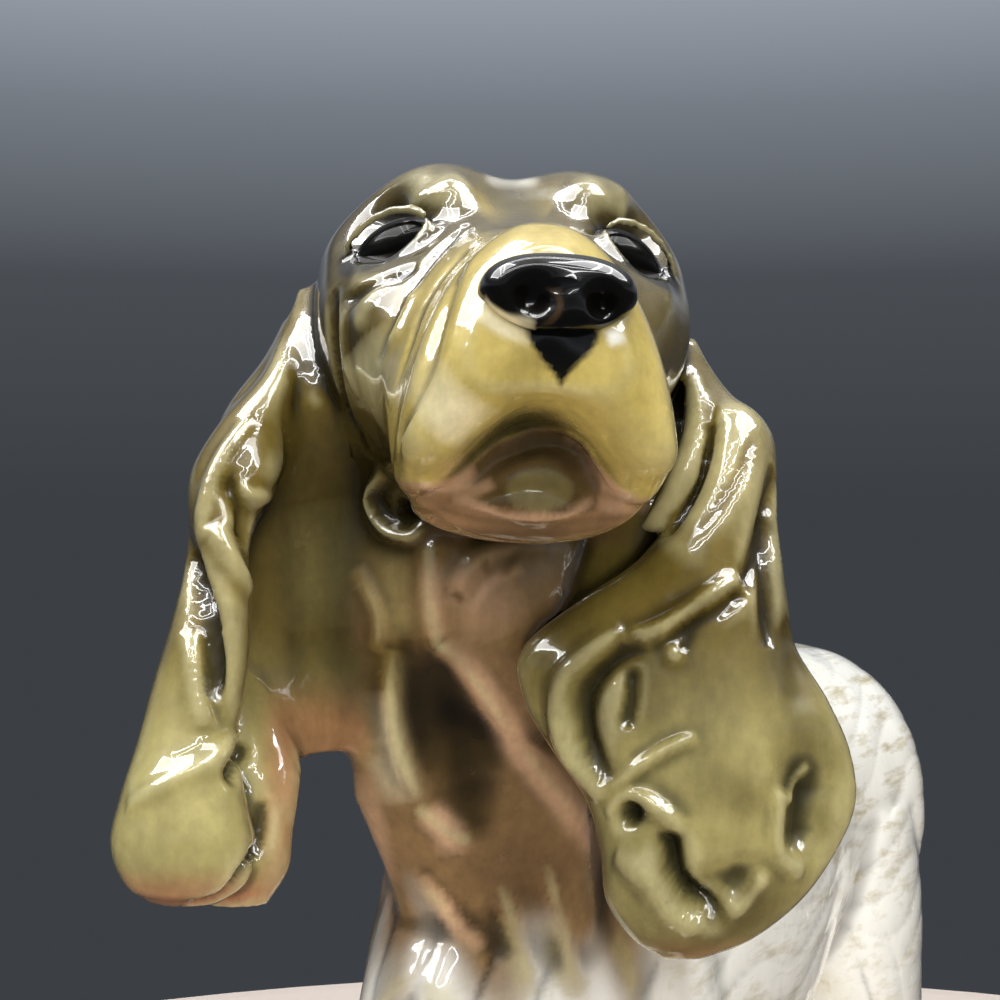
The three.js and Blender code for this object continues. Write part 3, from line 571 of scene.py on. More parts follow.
leftEar = {
    "leaf": [(338, 680, 694, 136, 1, 2), (370, 683, 712, 134.5, 1.6, 2.4), (405, 688, 738, 132.5, 2.2, 3),
             (440, 694, 768, 131, 2.6, 3.4), (480, 690, 774, 129.8, 2.8, 3.6), (520, 672, 776, 128.8, 3, 4),
             (560, 640, 782, 127.8, 3.2, 5), (600, 580, 788, 127, 3.4, 6), (650, 521, 800, 126.4, 3.6, 6.5),
             (700, 524, 828, 126, 3.8, 6.5), (750, 552, 850, 125.6, 4, 6), (800, 586, 856, 125.2, 4.2, 5),
             (850, 600, 838, 125, 4.2, 4), (900, 606, 800, 125, 3.6, 3.6), (938, 632, 752, 125, 2.2, 2.2),
             (958, 662, 702, 125, 0.8, 0.8)],
    "strand": [(350, 676, 694, 134.5, 1, 2), (390, 684, 708, 132, 1.4, 2.4),
               (430, 684, 710, 130.4, 1.6, 2.6), (470, 668, 700, 129, 1.6, 2.6),
               (505, 652, 682, 128.4, 1.4, 2.4), (530, 640, 664, 128.2, 0.8, 1.6)],
    "web": [(345, 660, 690, 138, 1, 3), (400, 640, 725, 136, 1.4, 4), (470, 620, 735, 134, 1.6, 5),
            (540, 590, 735, 132, 1.6, 5), (600, 560, 720, 131, 1.6, 5), (650, 545, 700, 131, 1, 4)],
}
throat = [(600, 352, 545, 137, 4.6, 4), (680, 345, 560, 137, 5, 4), (740, 340, 580, 137.4, 5, 4),
          (780, 348, 586, 138, 5, 4), (825, 367, 590, 139, 5, 4), (875, 387, 594, 140.4, 4.8, 4),
          (930, 399, 600, 142, 4.4, 4), (1000, 396, 620, 144, 3.6, 4)]


def slicedShell(rows):
    # A loft of level ellipses whose ends are seen at the row's two edges, the right one deeper by the slant
    ringsPerRow, sides = 14, 72
    rows = np.array([(*row, 0)[:7] for row in rows], float)
    high, left, right, depth, front, back, slant = rows.T
    ends = [lensPlace + (depth + share * slant)[:, None] * sightLine(np.stack([edge, high], 1))
            for edge, share in ((left, -0.5), (right, 0.5))]
    span = ends[1] - ends[0]
    span[:, 2] = 0
    wide = np.linalg.norm(span, axis=1)
    plain = np.ones(len(high))
    sections = np.column_stack([0.5 * (ends[0] + ends[1]), 0.5 * wide, front, back, 2 * plain, 0 * plain])
    rings = ringsPerRow * len(rows)
    across = smoothRun(span / wide[:, None], np.linspace(0, 1, rings))
    across /= np.linalg.norm(across, axis=1, keepdims=True)
    return loft(sections, rings, sides, across, np.cross(across, [0, 0, 1]))


# Torso, legs and tail

def trunkShell(frontOnly=False):
    # Levels from the point of the chest to the rump, in shares of the body's sizes
    b = torso
    front, rear = -b["shoulderReach"] - b["chestOverhang"], b["hipReach"] + b["rumpOverhang"]
    over, rump = b["chestOverhang"], b["rumpOverhang"]

    def up(share):
        return brisket + share * b["briskDepth"]

    def level(y, width, top, bottom, square=2):
        middle = 0.45 * top + 0.55 * bottom
        return section((0, y, middle), width / 2, top - middle, middle - bottom, square)

    chest, loin, hip = b["chestWidth"], b["loinWidth"], b["hipWidth"]
    withers, croup, tuck = b["withersHeight"], b["croupHeight"], b["tuckHeight"]
    sections = [
        level(front, 0.26 * chest, up(0.5), up(0.26)),
        level(front + 0.2 * over, 0.48 * chest, up(0.62), up(0.11)),
        level(front + 0.55 * over, 0.68 * chest, up(0.8), up(0.03), 2.1),
        level(-b["shoulderReach"], 0.88 * chest, withers, brisket, 2.2),
        level(-0.5 * b["shoulderReach"], chest, withers, brisket, 2.3),
        level(0, chest, 0.5 * (withers + croup), up(0.03), 2.3),
        level(0.45 * b["hipReach"], loin, croup, 0.96 * tuck, 2.2),
        level(0.8 * b["hipReach"], 0.5 * (loin + hip), croup, tuck, 2.2),
        level(b["hipReach"] + 0.2 * rump, hip, 0.99 * croup, 0.98 * tuck, 2.2),
        level(b["hipReach"] + 0.75 * rump, 0.74 * hip, 0.94 * croup, 1.06 * tuck, 2.1),
        level(rear, 0.28 * hip, 0.86 * croup, 1.19 * tuck),
    ]
    return origin + loft(sections[:6] if frontOnly else sections, 200, 120)


legs = {
    "stance": 20, "foreWidth": 10.5, "foreFeather": 4.5, "hindWidth": 10, "thighLength": 27, "hockHeight": 20,
    "hindFeather": 3.5, "pawWidth": 13.5, "pawLength": 17, "pawHeight": 8.5,
    "foreSeam": brisket - 2.5, "hindSeam": 45, "bellyClear": 12,
}


def pawShells(foot):
    # A pad and four toes; the outer toes stand back and splay by an angle for each place
    p = legs
    splay = 6
    wide, long, high = p["pawWidth"], p["pawLength"], p["pawHeight"]
    shells = [ball(foot + [0, 0, 0.4 * high], (0.48 * wide, 0.44 * long, 0.62 * high))]
    toe = wide / 4
    for place in (-1.5, -0.5, 0.5, 1.5):
        reach = (0.22 if abs(place) > 1 else 0.32) * long
        at = foot + [0.92 * place * toe, -reach, 0.36 * high]
        shells.append(ball(at, (0.6 * toe, 0.25 * long, 0.47 * high), turnAbout(2, splay * place)))
    return shells


def foreLegShell(foot):
    # Levels from inside the shoulder to the paw; the feather hangs behind
    p = legs
    half, wide = p["foreWidth"] / 2, p["foreWidth"]

    def level(y, z, width, front, behind, feather):
        back = behind * half + feather * p["foreFeather"]
        return section((0, y * wide, z), width * half, front * half, back)

    return foot + loft([
        level(0.2, brisket + 0.52 * torso["briskDepth"], 0.9, 1.3, 1.6, 0),
        level(0.2, brisket + 0.26 * torso["briskDepth"], 1.1, 1.5, 1.8, 0),
        level(0.2, 0.95 * brisket, 1.1, 1.1, 1, 1),
        level(0.1, 0.62 * brisket, 1, 1, 1, 0.9),
        level(0, 0.34 * brisket, 0.92, 0.93, 1, 0.4),
        level(-0.1, 0.4 * p["pawHeight"], 1, 1, 1, 0),
    ], 110, 64, up=(0, -1, 0))


def hindLegShell(foot):
    # Levels from inside the hip over thigh, knee and hock to the paw
    p = legs
    half, thigh = p["hindWidth"] / 2, p["thighLength"] / 2
    upper, lower = torso["croupHeight"] - p["hindSeam"], p["hindSeam"] - p["hockHeight"]

    def level(y, z, width, front, behind):
        return section((0, y * thigh, z), width * half, front, behind)

    feather = p["hindFeather"]
    return foot + loft([
        level(-0.3, p["hindSeam"] + 0.58 * upper, 1.1, 0.92 * thigh, 0.78 * thigh),
        level(-0.37, p["hindSeam"] + 0.29 * upper, 1.3, thigh, thigh),
        level(-0.3, p["hindSeam"], 1.25, 0.85 * thigh, 0.92 * thigh),
        level(0, p["hockHeight"] + 0.52 * lower, 1.12, 1.6 * half, half + feather),
        level(0.37, p["hockHeight"] + 0.12 * lower, 0.92, 1.08 * half, half + 0.8 * feather),
        level(0.3, 0.5 * p["hockHeight"], 0.88, 0.96 * half, half + 0.3 * feather),
        level(0.11, 0.4 * p["pawHeight"], 1, half, half),
    ], 110, 64, up=(0, -1, 0))


def tailShell():
    # Levels along a tail that droops as the square of the share along it
    half, long = tail["width"] / 2, tail["length"]

    def level(share, wide, up, down):
        at = (0, share * long, -tail["droop"] * long * share * share)
        return section(at, wide * half, up * half, down * half)

    root = origin + [0, tailRootY, tail["rootHeight"] * torso["croupHeight"]]
    return root + loft([
        level(-0.2, 1, 1, 1),
        level(0.2, 1, 0.95, 1.2),
        level(0.5, 0.85, 0.8, 1.3),
        level(0.8, 0.62, 0.6, 1),
        level(0.95, 0.4, 0.4, 0.6),
        level(1, 0.14, 0.14, 0.2),
    ], 100, 64)


feet = {
    "left_foreleg": (1, -torso["shoulderReach"]), "right_foreleg": (-1, -torso["shoulderReach"]),
    "left_hind_leg": (1, torso["hipReach"]), "right_hind_leg": (-1, torso["hipReach"]),
}


def footOf(name):
    # Where a leg stands on the floor
    side, y = feet[name]
    return origin + [side * legs["stance"] / 2, y, 0]


# Fused skins: the voxel sizes in millimetres, and the rounds of smoothing
grain = {"head": 0.3, "body": 0.48}
smoothing = {"first": 12, "fillet": 30, "sharpness": 12, "last": 6, "strokes": 2}

headShells = [(fromHead(skullShell()), 0), (neckShell(), 0), (slicedShell(throat), 0), (trunkShell(True), 0)]
headShells += [(fromHead(shell), 0) for shell in jawShells() + lidShells(1) + lidShells(-1)]
headShells += [(slicedShell(rows), 1) for rows in leftEar.values()]
headShells += [(slicedShell(rows), 2) for rows in rightEar.values()]
headSkin = fuse("headClay", headShells, grain["head"])
bodyShells = [(trunkShell(), 0), (neckShell(), 0), (slicedShell(throat), 0), (tailShell(), 0)]
for legName in feet:
    legForm = foreLegShell if "fore" in legName else hindLegShell
    bodyShells += [(shell, 0) for shell in [legForm(footOf(legName)), *pawShells(footOf(legName))]]
bodySkin = fuse("bodyClay", bodyShells, grain["body"])
for skin in (headSkin, bodySkin):
    skin.relax(smoothing["first"])
    skin.fillet(smoothing["fillet"], smoothing["sharpness"])
    skin.relax(smoothing["last"])
webField = {
    "across": (262, 290, 400, 450), "down": (400, 450, 760, 800), "depth": (127.5, 129.5), "rounds": 260,
}


def webMask(points):
    # One inside the sheet between the right ear's roll, the cheek and the throat
    across, down = seenAt(points)
    w = webField
    mask = ramp(w["across"][0], w["across"][1], across) * ramp(w["across"][3], w["across"][2], across)
    mask *= ramp(w["down"][0], w["down"][1], down) * ramp(w["down"][3], w["down"][2], down)
    return mask * ramp(*w["depth"], (points - lensPlace) @ viewY)


headSkin.soften(webMask(headSkin.points), webField["rounds"])
print("skins smoothed")


# Strokes of the modelling tool: a path of pixels, its width and its lift in millimetres
faceStrokes = {
    "browRight": ([(428, 204), (448, 196)], 1.9, 1.2), "browLeft": ([(592, 201), (610, 212)], 1.8, 1.1),
    "muzzleCrease": ([(467, 248), (441, 321), (426, 374), (400, 428), (394, 476)], 0.7, -0.4),
    "cheekFold": ([(470, 224), (440, 250), (412, 286), (396, 320), (376, 362)], 0.5, -0.35),
    "cheekFoldInner": ([(474, 240), (446, 272), (424, 306), (410, 346), (396, 390)], 0.5, -0.25),
    "cheekSwellOuter": ([(378, 290), (364, 318)], 1.3, 0.5),
    "cheekSwellInner": ([(408, 300), (394, 336)], 0.9, 0.35),
    "underEye": ([(418, 266), (390, 280), (362, 292), (342, 304)], 0.6, -0.5),
    "templeFold": ([(333, 289), (333, 347), (344, 401), (368, 455)], 0.55, -0.8),
    "templeRidge": ([(344, 300), (346, 350), (356, 396)], 0.6, 0.35),
    "mouthLine": ([(398, 483), (430, 486), (465, 473), (494, 446), (534, 430), (561, 431), (583, 443),
                   (601, 470), (626, 497), (652, 504)], 0.4, 0.25),
    "mouthRoof": ([(468, 486), (500, 458), (535, 444), (560, 445), (580, 457), (600, 486)], 0.6, -0.6),
    "lipCurl": ([(384, 472), (374, 492), (376, 512), (390, 530), (412, 535), (422, 524)], 0.55, 1.1),
    "nostrilRight": ([(535, 300)], 1.0, -0.7), "nostrilLeft": ([(608, 302)], 0.9, -0.7),
    "lipPit": ([(405, 512), (410, 514)], 0.6, -1.6), "lipPitInner": ([(441, 524)], 0.55, -1.2),
    "lowerLip": ([(470, 500), (512, 513), (555, 514), (592, 501)], 0.4, 0.3),
}
earStrokes = {
    "facetEdge": ([(248, 418), (226, 450), (212, 480), (203, 514), (203, 540)], 0.6, 0.45),
    "facetHollow": ([(262, 440), (250, 476)], 2.0, -0.25),
    "facetFoot": ([(232, 476), (250, 497), (272, 497)], 0.6, 0.4),
    "rollPocket": ([(232, 486), (243, 512), (244, 530)], 0.7, -0.6),
    "rollRidge": ([(213, 525), (230, 556), (250, 592)], 0.7, 0.5),
    "rollGroove": ([(194, 550), (204, 590), (211, 620), (216, 660), (214, 700)], 0.6, -0.8),
    "strandRidge": ([(192, 630), (196, 690), (205, 730)], 0.8, 0.4),
    "lobeRidge": ([(126, 807), (170, 782), (224, 755), (240, 735)], 0.8, 0.4),
    "lobePocket": ([(238, 750), (232, 772)], 0.7, -0.6),
    "lobeSeam": ([(264, 800), (255, 850), (228, 892), (190, 905)], 0.5, -0.7),
    "webStrand": ([(356, 567), (376, 605), (380, 630), (375, 652)], 0.6, 0.25),
    "strandGroove": ([(711, 430), (706, 463), (700, 490), (672, 545)], 0.6, -0.7),
    "leafShoulder": ([(735, 430), (728, 480), (716, 520), (690, 556)], 2.7, 1.1),
    "leafCrack": ([(748, 440), (737, 480), (722, 510), (700, 545)], 0.35, -0.15),
    "leafEdgeGroove": ([(770, 470), (762, 520), (752, 565), (740, 590)], 0.7, -0.7),
    "backLock": ([(770, 520), (766, 580), (768, 650)], 0.7, -0.6),
    "diagonalLock": ([(741, 577), (713, 597), (686, 615), (655, 632), (622, 640)], 0.6, 0.7),
    "diagonalGroove": ([(741, 590), (713, 612), (690, 628), (672, 648)], 0.6, -0.7),
    "lockLoop": ([(729, 600), (705, 620), (681, 638), (673, 656), (684, 652)], 0.45, 0.45),
    "flapRidge": ([(625, 630), (592, 653), (566, 676), (559, 706), (566, 742), (584, 772), (605, 800)],
                  0.8, 0.8),
    "flapGroove": ([(640, 640), (600, 672), (584, 706), (589, 752), (606, 784)], 0.9, -1.0),
    "flapSlit": ([(632, 676), (631, 700), (627, 720)], 0.5, -0.5),
    "thinRidge": ([(610, 788), (640, 765), (668, 748), (696, 737)], 0.4, 0.35),
    "leafRidge": ([(728, 610), (744, 684), (752, 737), (762, 772)], 2.2, 0.5),
    "leafHollow": ([(790, 640), (795, 690)], 1.8, -0.3),
    "lobeEye": ([(629, 812)], 0.8, -1.4),
    "lobeEyeRim": ([(610, 818), (622, 801), (645, 801), (668, 818), (676, 838)], 0.6, 0.6),
    "curlGroove": ([(668, 845), (674, 879), (691, 903), (714, 915)], 0.8, -1.6),
    "curlRidge": ([(615, 854), (640, 872), (660, 888), (675, 912), (700, 932)], 1.0, 0.6),
    "curlHollow": ([(706, 890), (735, 884)], 1.7, -0.9),
    "curlRim": ([(715, 915), (740, 906), (760, 882)], 0.7, 0.5),
    "lobeHollow": ([(812, 790), (812, 835)], 2.4, -1.6),
    "lobeHollowRim": ([(785, 800), (783, 850), (800, 870)], 0.8, 0.6),
    "lobeLoop": ([(797, 800), (802, 780), (812, 768)], 0.4, 0.4),
}
neckStrokes = {
    "throatRidge": ([(430, 552), (430, 600), (436, 645)], 0.9, 0.4),
    "throatArch": ([(450, 592), (478, 562), (505, 546), (545, 544)], 0.8, 0.3),
    "throatHollow": ([(440, 680), (448, 730), (468, 785)], 3.0, -0.9),
    "hollowRim": ([(440, 645), (475, 682), (513, 735), (550, 785), (585, 830)], 1.0, 0.5),
    "neckRidge": ([(394, 650), (392, 700), (400, 750), (418, 800)], 0.8, 0.6),
    "lockUpper": ([(424, 812), (448, 832), (462, 838)], 0.9, 0.4),
    "lockLower": ([(420, 876), (450, 915), (482, 950)], 0.9, 0.3),
    "lockGroove": ([(414, 858), (440, 890), (474, 930)], 0.8, -0.15),
    "chestLockA": ([(500, 880), (515, 930), (530, 985)], 0.8, 0.35),
    "chestLockB": ([(545, 860), (560, 920), (575, 985)], 0.8, 0.35),
}
strokeDepth = {"face": 1, "ear": 1.3, "neck": 1}
picture = Photo(headSkin)


def strokeLift(points, strokes):
    # The sum of every stroke's lift times its weight; a stroke longer than 8 widths fades at its ends
    longStroke, taper = 8, 0.25
    lift = np.zeros(len(points))
    for pixels, width, height in strokes.values():
        path = picture.trace(pixels)
        if len(path) == 1:
            path = np.repeat(path, 2, axis=0)
        if len(path):
            length = np.linalg.norm(np.diff(path, axis=0), axis=1).sum()
            fade = taper if length > longStroke * width else 0
            lift += height * pathWeight(points, path, width, taper=fade)
    return lift


# Hair combed into the clay: depth of the grooves and distance between them
coat = {
    "chest": (0.5, 4.2), "belly": (0.45, 4.6), "legs": (0.32, 3.4), "tail": (0.3, 3.0), "back": (0.13, 3.8),
    "mane": (0.4, 4.4), "ears": (0.6, 5.0), "crown": (0.1, 2.6),
}
# Where the hair comes in, from none to full, past the legs and over the brisket or the floor
coatBands = {
    "chestAhead": (2, -8), "chestTop": (74, 64), "chestFoot": (-6, 2),
    "bellyTop": (16, 6), "bellyFoot": (-4, 0), "bellyAhead": (6, 14), "bellyBehind": (-6, -14),
    "tailBehind": (1, 6), "backOver": (4, 14), "backBehind": (-6, 2),
    "limbBehind": (-0.5, 3), "limbAhead": (14, 10), "limbOver": (7, 13), "limbUnder": (12, 0),
}
maneBands = {
    "depth": (143, 149), "under": (-14, -20), "crownBehind": (2, 8), "crownOver": (-18, -12),
    "away": (0.1, 0.5), "middle": 9, "slope": 0.3,
}


def locks(name, across, along, sway=0.5):
    # Strands side by side: |sin|^0.6 is a round back between sharp grooves, and it sways along the strand
    depth, pitch = coat[name]
    wander = sway * np.sin(0.24 * along + 0.7 * np.sin(0.55 * across))
    return depth * (np.abs(np.sin(math.pi * (across + wander) / pitch)) ** 0.6 - 0.6)


def band(name, value, base=0):
    # A ramp over one of the coat's bands, measured from a base
    low, high = coatBands[name]
    return ramp(base + low, base + high, value)


def coatLift(points):
    # Combed fields of chest, belly, tail, back and the backs of the legs, each faded in by its bands
    x, y, z = (points - origin).T
    front, rear = -torso["shoulderReach"], torso["hipReach"]
    slope, backSlope, bow = 0.35, 0.12, 0.8  # how far strands slant, and how they spread to a leg's sides
    trunkAxis, tailAxis = brisket + 0.4 * torso["briskDepth"], 0.86 * torso["croupHeight"]
    chest = band("chestAhead", y, front) * band("chestTop", z) * band("chestFoot", z, brisket)
    belly = band("bellyTop", z, brisket) * band("bellyAhead", y, front) * band("bellyBehind", y, rear)
    tailPart = band("tailBehind", y, tailRootY)
    back = band("backOver", z, brisket) * (1 - chest) * (1 - tailPart) * band("backBehind", y, front)
    turn = np.arctan2(x, z - trunkAxis) * torso["chestWidth"] / 2
    tailTurn = np.arctan2(x, z - tailAxis) * tail["width"] / 2
    lift = chest * locks("chest", x, z, 0.9)
    lift += belly * band("bellyFoot", z, brisket) * locks("belly", y + slope * z, z, 0.8)
    lift += tailPart * locks("tail", tailTurn, y, 0.8) + back * locks("back", turn + backSlope * y, y, 1.4)
    for side, footY in feet.values():
        off = y - footY
        limb = (side * x > 0) * band("limbBehind", off) * band("limbAhead", off)
        limb = limb * band("limbOver", z) * band("limbUnder", z, brisket)
        run = off + slope * z + bow * np.abs(x - side * legs["stance"] / 2)
        lift = lift + limb * locks("legs", run, z)
    return lift


def maneLift(skin):
    # The neck behind the throat, the backs of the ears and the crown, which the modelling strokes leave plain
    m = maneBands
    x, y, z = toHead(skin.points).T
    depth = (skin.points - lensPlace) @ viewY
    away = ramp(*m["away"], skin.normals() @ viewY)
    plain = skin.label < 0.5
    turn = np.arctan2(x, m["middle"] - y) * neck["width"] / 2
    lift = plain * ramp(*m["depth"], depth) * ramp(*m["under"], z) * locks("mane", turn, z, 1.2)
    crown = plain * ramp(*m["crownBehind"], y) * ramp(*m["crownOver"], z)
    lift += crown * locks("crown", x + m["slope"] * z, y, 0.8)
    return lift + ~plain * away * locks("ears", (skin.points - lensPlace) @ viewX, skin.points[:, 2], 1.4)


for strokes, place in ((faceStrokes, "face"), (earStrokes, "ear"), (neckStrokes, "neck")):
    headSkin.push(strokeDepth[place] * strokeLift(headSkin.points, strokes))
headSkin.push(maneLift(headSkin))
bodySkin.push(strokeLift(bodySkin.points, neckStrokes) + coatLift(bodySkin.points))
headSkin.relax(smoothing["strokes"])
print("strokes worked in")


# Paint: the glaze's colours, from 0 to 255; russet is a painted warm reflection, pink is partly one, and the
# dark olives also paint shade
paints = {
    "gold": (202, 180, 98), "olive": (86, 74, 36), "oliveDark": (58, 47, 19), "oliveLight": (188, 177, 116),
    "forehead": (84, 71, 34), "blaze": (228, 224, 206), "throat": (144, 114, 74), "white": (250, 248, 238),
    "black": (10, 9, 7), "tan": (178, 162, 108), "mouth": (92, 74, 44), "chin": (124, 112, 72),
    "jaw": (146, 112, 76), "brown": (112, 86, 54), "russetReflection": (176, 120, 84), "thin": (212, 202, 150),
    "eye": (20, 16, 9), "pinkAndReflection": (220, 178, 140), "cream": (250, 238, 196), "ear": (112, 96, 43),
    "deepOlive": (44, 36, 13),
}

# Brush strokes: a path of pixels, its width in millimetres, the colour and its strength
headBrush = {
    "webShade": ([(290, 500), (290, 570), (292, 640), (298, 700)], 1.6, "oliveDark", 0.6),
    "webLight": ([(320, 500), (326, 560), (330, 630)], 3.2, "oliveLight", 0.3),
    "webEdge": ([(384, 545), (394, 600), (398, 640)], 1.8, "oliveLight", 0.4),
    "muzzleShade": ([(505, 350), (515, 375), (525, 400)], 2.0, "olive", 0.3),
    "leafEdgeShade": ([(774, 500), (782, 580), (792, 650), (806, 700)], 2.6, "oliveDark", 0.75),
    "lobeLowShade": ([(616, 905), (650, 945), (700, 945), (760, 915), (810, 870)], 1.8, "olive", 0.6),
    # Painted light on the cheek
    "cheekPaintedLight": ([(356, 345), (366, 380), (378, 425)], 3.2, "thin", 0.85),
    # A painted soft highlight over the muzzle's cream tint
    "muzzleCreamHighlight": ([(430, 436), (450, 416), (474, 392)], 2.8, "cream", 0.75),
    "browShade": ([(352, 258), (372, 226), (404, 214), (440, 226)], 1.2, "oliveDark", 0.7),
    "stopGold": ([(472, 212), (510, 204), (556, 206)], 1.8, "gold", 0.5),
    "skullShade": ([(322, 290), (330, 252), (352, 222), (384, 196)], 1.8, "oliveDark", 0.7),
    "bridgeGold": ([(490, 236), (530, 228), (580, 230)], 1.2, "gold", 0.5),
    "flapShade": ([(600, 680), (596, 720), (604, 770)], 1.2, "oliveDark", 0.7),
    "leafShade": ([(660, 640), (640, 690), (640, 740)], 2.4, "oliveDark", 0.5),
    "leafShadeRight": ([(786, 700), (800, 750), (796, 790)], 2.4, "oliveDark", 0.45),
    "leafShadeLow": ([(680, 770), (730, 790), (770, 800)], 1.8, "olive", 0.5),
    # Painted shade along the bottom of the left lobe
    "lobeFootShade": ([(690, 925), (740, 920), (790, 880)], 2.2, "olive", 0.45),
    "lobeShade": ([(812, 780), (812, 840)], 2.2, "oliveDark", 0.6),
    "curlShade": (earStrokes["curlGroove"][0], 0.9, "oliveDark", 0.7),
}
mouthBrush = {
    "archGold": ([(420, 468), (460, 452), (490, 424), (534, 408), (565, 409), (592, 424), (616, 456),
                  (640, 482)], 1.1, "gold", 0.7),
    # Pink on the lips: partly their own tint, partly painted warm reflection from below
    "lipRight": ([(562, 436), (586, 456), (606, 480), (630, 498), (652, 503)], 0.7, "pinkAndReflection", 0.7),
    "holeEdge": ([(578, 452), (592, 476), (592, 494), (566, 510)], 0.4, "brown", 0.8),
    "jawFold": ([(430, 505), (470, 517), (520, 524), (580, 521), (640, 512)], 0.3, "brown", 0.7),
    "lipLeft": ([(398, 484), (430, 486), (455, 482), (476, 468)], 0.6, "pinkAndReflection", 0.6),
    # Painted shade under the jaw, in brown
    "jawUnderShade": ([(420, 532), (450, 534), (480, 536), (520, 538), (560, 538), (600, 534), (634, 528)],
                 1.2, "brown", 0.9),
    "lipBlotch": ([(464, 494), (480, 488), (494, 482)], 0.5, "pinkAndReflection", 0.6),
    "lipBand": ([(452, 496), (488, 508), (512, 514), (555, 515), (575, 509), (594, 500)], 0.35, "pinkAndReflection", 0.9),
    "lipBandRight": ([(596, 502), (620, 508), (648, 508)], 0.5, "pinkAndReflection", 0.5),
    "curl": (faceStrokes["lipCurl"][0], 0.5, "tan", 0.8),
    # Painted shade in the two pits of the lip curl
    "curlPit": ([(403, 512), (413, 515)], 0.5, "deepOlive", 0.9),
    "curlPitInner": ([(436, 523), (446, 526)], 0.5, "deepOlive", 0.8),
    "noseEdge": ([(472, 300), (486, 316), (508, 330), (534, 339)], 0.5, "cream", 0.9),
    "noseSpot": ([(606, 340), (624, 333)], 0.5, "white", 0.9),
}
neckBrush = {
    # Pink on the throat, neck and chest locks: partly the glaze's pink, partly painted warm reflection from
    # below
    "throatPink": ([(470, 560), (482, 600), (500, 640)], 2.4, "pinkAndReflection", 0.4),
    "throatCurl": ([(450, 604), (466, 572), (500, 550), (545, 545), (584, 548)], 0.5, "pinkAndReflection", 0.8),
    "throatCurlInner": ([(470, 614), (492, 582), (524, 568)], 0.4, "pinkAndReflection", 0.7),
    # Painted shade standing for small pits and a slit in the throat
    "throatPit": ([(455, 600), (462, 593)], 0.5, "brown", 0.9),
    "throatPitUpper": ([(480, 566), (490, 564)], 0.6, "brown", 0.7),
    "throatSlit": ([(526, 548), (512, 561), (503, 578)], 0.4, "brown", 0.9),
    "throatRidge": ([(430, 556), (431, 600), (436, 640)], 0.8, "pinkAndReflection", 0.8),
    "neckEdge": ([(358, 772), (380, 850), (396, 920)], 1.5, "pinkAndReflection", 0.6),
    "webFoot": ([(378, 630), (386, 662), (390, 694)], 1.8, "ear", 0.7),
    "neckCream": ([(374, 690), (384, 740), (402, 805)], 1.7, "cream", 0.5),
    "hollowEdge": ([(398, 650), (398, 710), (410, 775)], 0.9, "oliveLight", 0.35),
    "webDark": ([(400, 622), (406, 645), (402, 675)], 0.8, "oliveDark", 0.6),
    "hollow": ([(426, 636), (438, 680), (450, 730), (462, 780), (474, 830)], 3.1, "oliveDark", 0.95),
    "hollowTip": ([(458, 786), (472, 816), (480, 842)], 1.3, "oliveDark", 0.75),
    "hollowSide": ([(480, 712), (492, 745), (490, 775)], 1.4, "oliveDark", 0.8),
    "hollowDeep": ([(414, 668), (416, 720), (432, 775)], 1.1, "deepOlive", 0.8),
    "chestBrown": ([(470, 850), (520, 875), (566, 890)], 3.6, "brown", 0.75),
    "hollowRim": ([(440, 645), (475, 682), (513, 735), (550, 785), (588, 835), (596, 880)],
                  1.25, "pinkAndReflection", 0.9),
    "lockUpper": ([(424, 810), (446, 832), (454, 856)], 1.2, "pinkAndReflection", 0.95),
    "lockLower": (neckStrokes["lockLower"][0], 0.8, "pinkAndReflection", 0.85),
    "streakA": ([(500, 915), (518, 960), (528, 1000)], 1.1, "tan", 0.7),
    "streakB": ([(548, 915), (562, 960), (578, 1000)], 1.1, "tan", 0.7),
    "streakC": ([(612, 930), (628, 970), (640, 1000)], 1.0, "tan", 0.6),
}
noseBrush = {
    "nostrilRim": ([(546, 286), (558, 296), (560, 308), (552, 320), (540, 327)], 0.2, "brown", 0.25),
    "noseEdge": ([(484, 298), (492, 308), (512, 320), (536, 327)], 0.42, "cream", 0.95),
}
brushEdge = {"head": 2, "neck": 3, "mouth": 4, "nose": 4}

# The mouth in the picture's pixels, with bands from none to full; ahead is in the head's frame
mouth = {
    "upperLip": [(392, 478), (430, 484), (465, 471), (494, 444), (534, 428), (561, 429), (583, 441),
                 (601, 468), (626, 495), (660, 503)],
    "lowerLip": [(392, 488), (440, 500), (500, 508), (559, 514), (610, 506), (660, 508)],
    "underLip": (-2, 5), "corners": ((392, 400), (662, 654)),
    "overRim": (6, -4), "hole": ((462, 478), (604, 590)),
    "chin": (540, 490), "chinSize": (34, 22), "chinEdge": (1.1, 0.85), "ahead": (-2, -8),
}
# The painted wedge under the nose, in the head's frame
philtrum = {
    "middle": 0.8, "half": 2.0, "top": -12.4, "tip": -15.6, "edge": (0.25, -0.15), "ahead": (-20, -22),
    "foot": (-15.6, -15.2), "under": (-10.4, -11),
}
# The head's paint in its own frame: bands in millimetres from none to full, shares, and rounds of spreading;
# the side bands and share set the painted shade on the sides
headTints = {
    "skullOver": (-25, -19), "muzzleAhead": (-7, -13),
    "lidInset": 0.1, "lidEdge": (1.2, 1.0), "lidDepth": (4, 3),
    "browOver": (0, 4), "browBehind": (-6, 0), "browShare": 0.8,
    "blazeAside": (2.2, 1.0), "blazeOver": (3.4, 4.6),
    "sideFacing": (0.6, 0.15), "sideBehind": (-13, -7), "sideShadeShare": 0.6,
    "earRounds": 8, "fineRounds": 10, "broadRounds": 90,
}
# The ears' paint in the picture: bands of pixels down and across it from none to full, and shares; the lower
# ears are painted paler, partly the glaze's paler yellow and partly painted highlight
earPaleAndHighlight = {"down": (600, 780), "across": (420, 380), "share": 0.65, "more": 0.15}
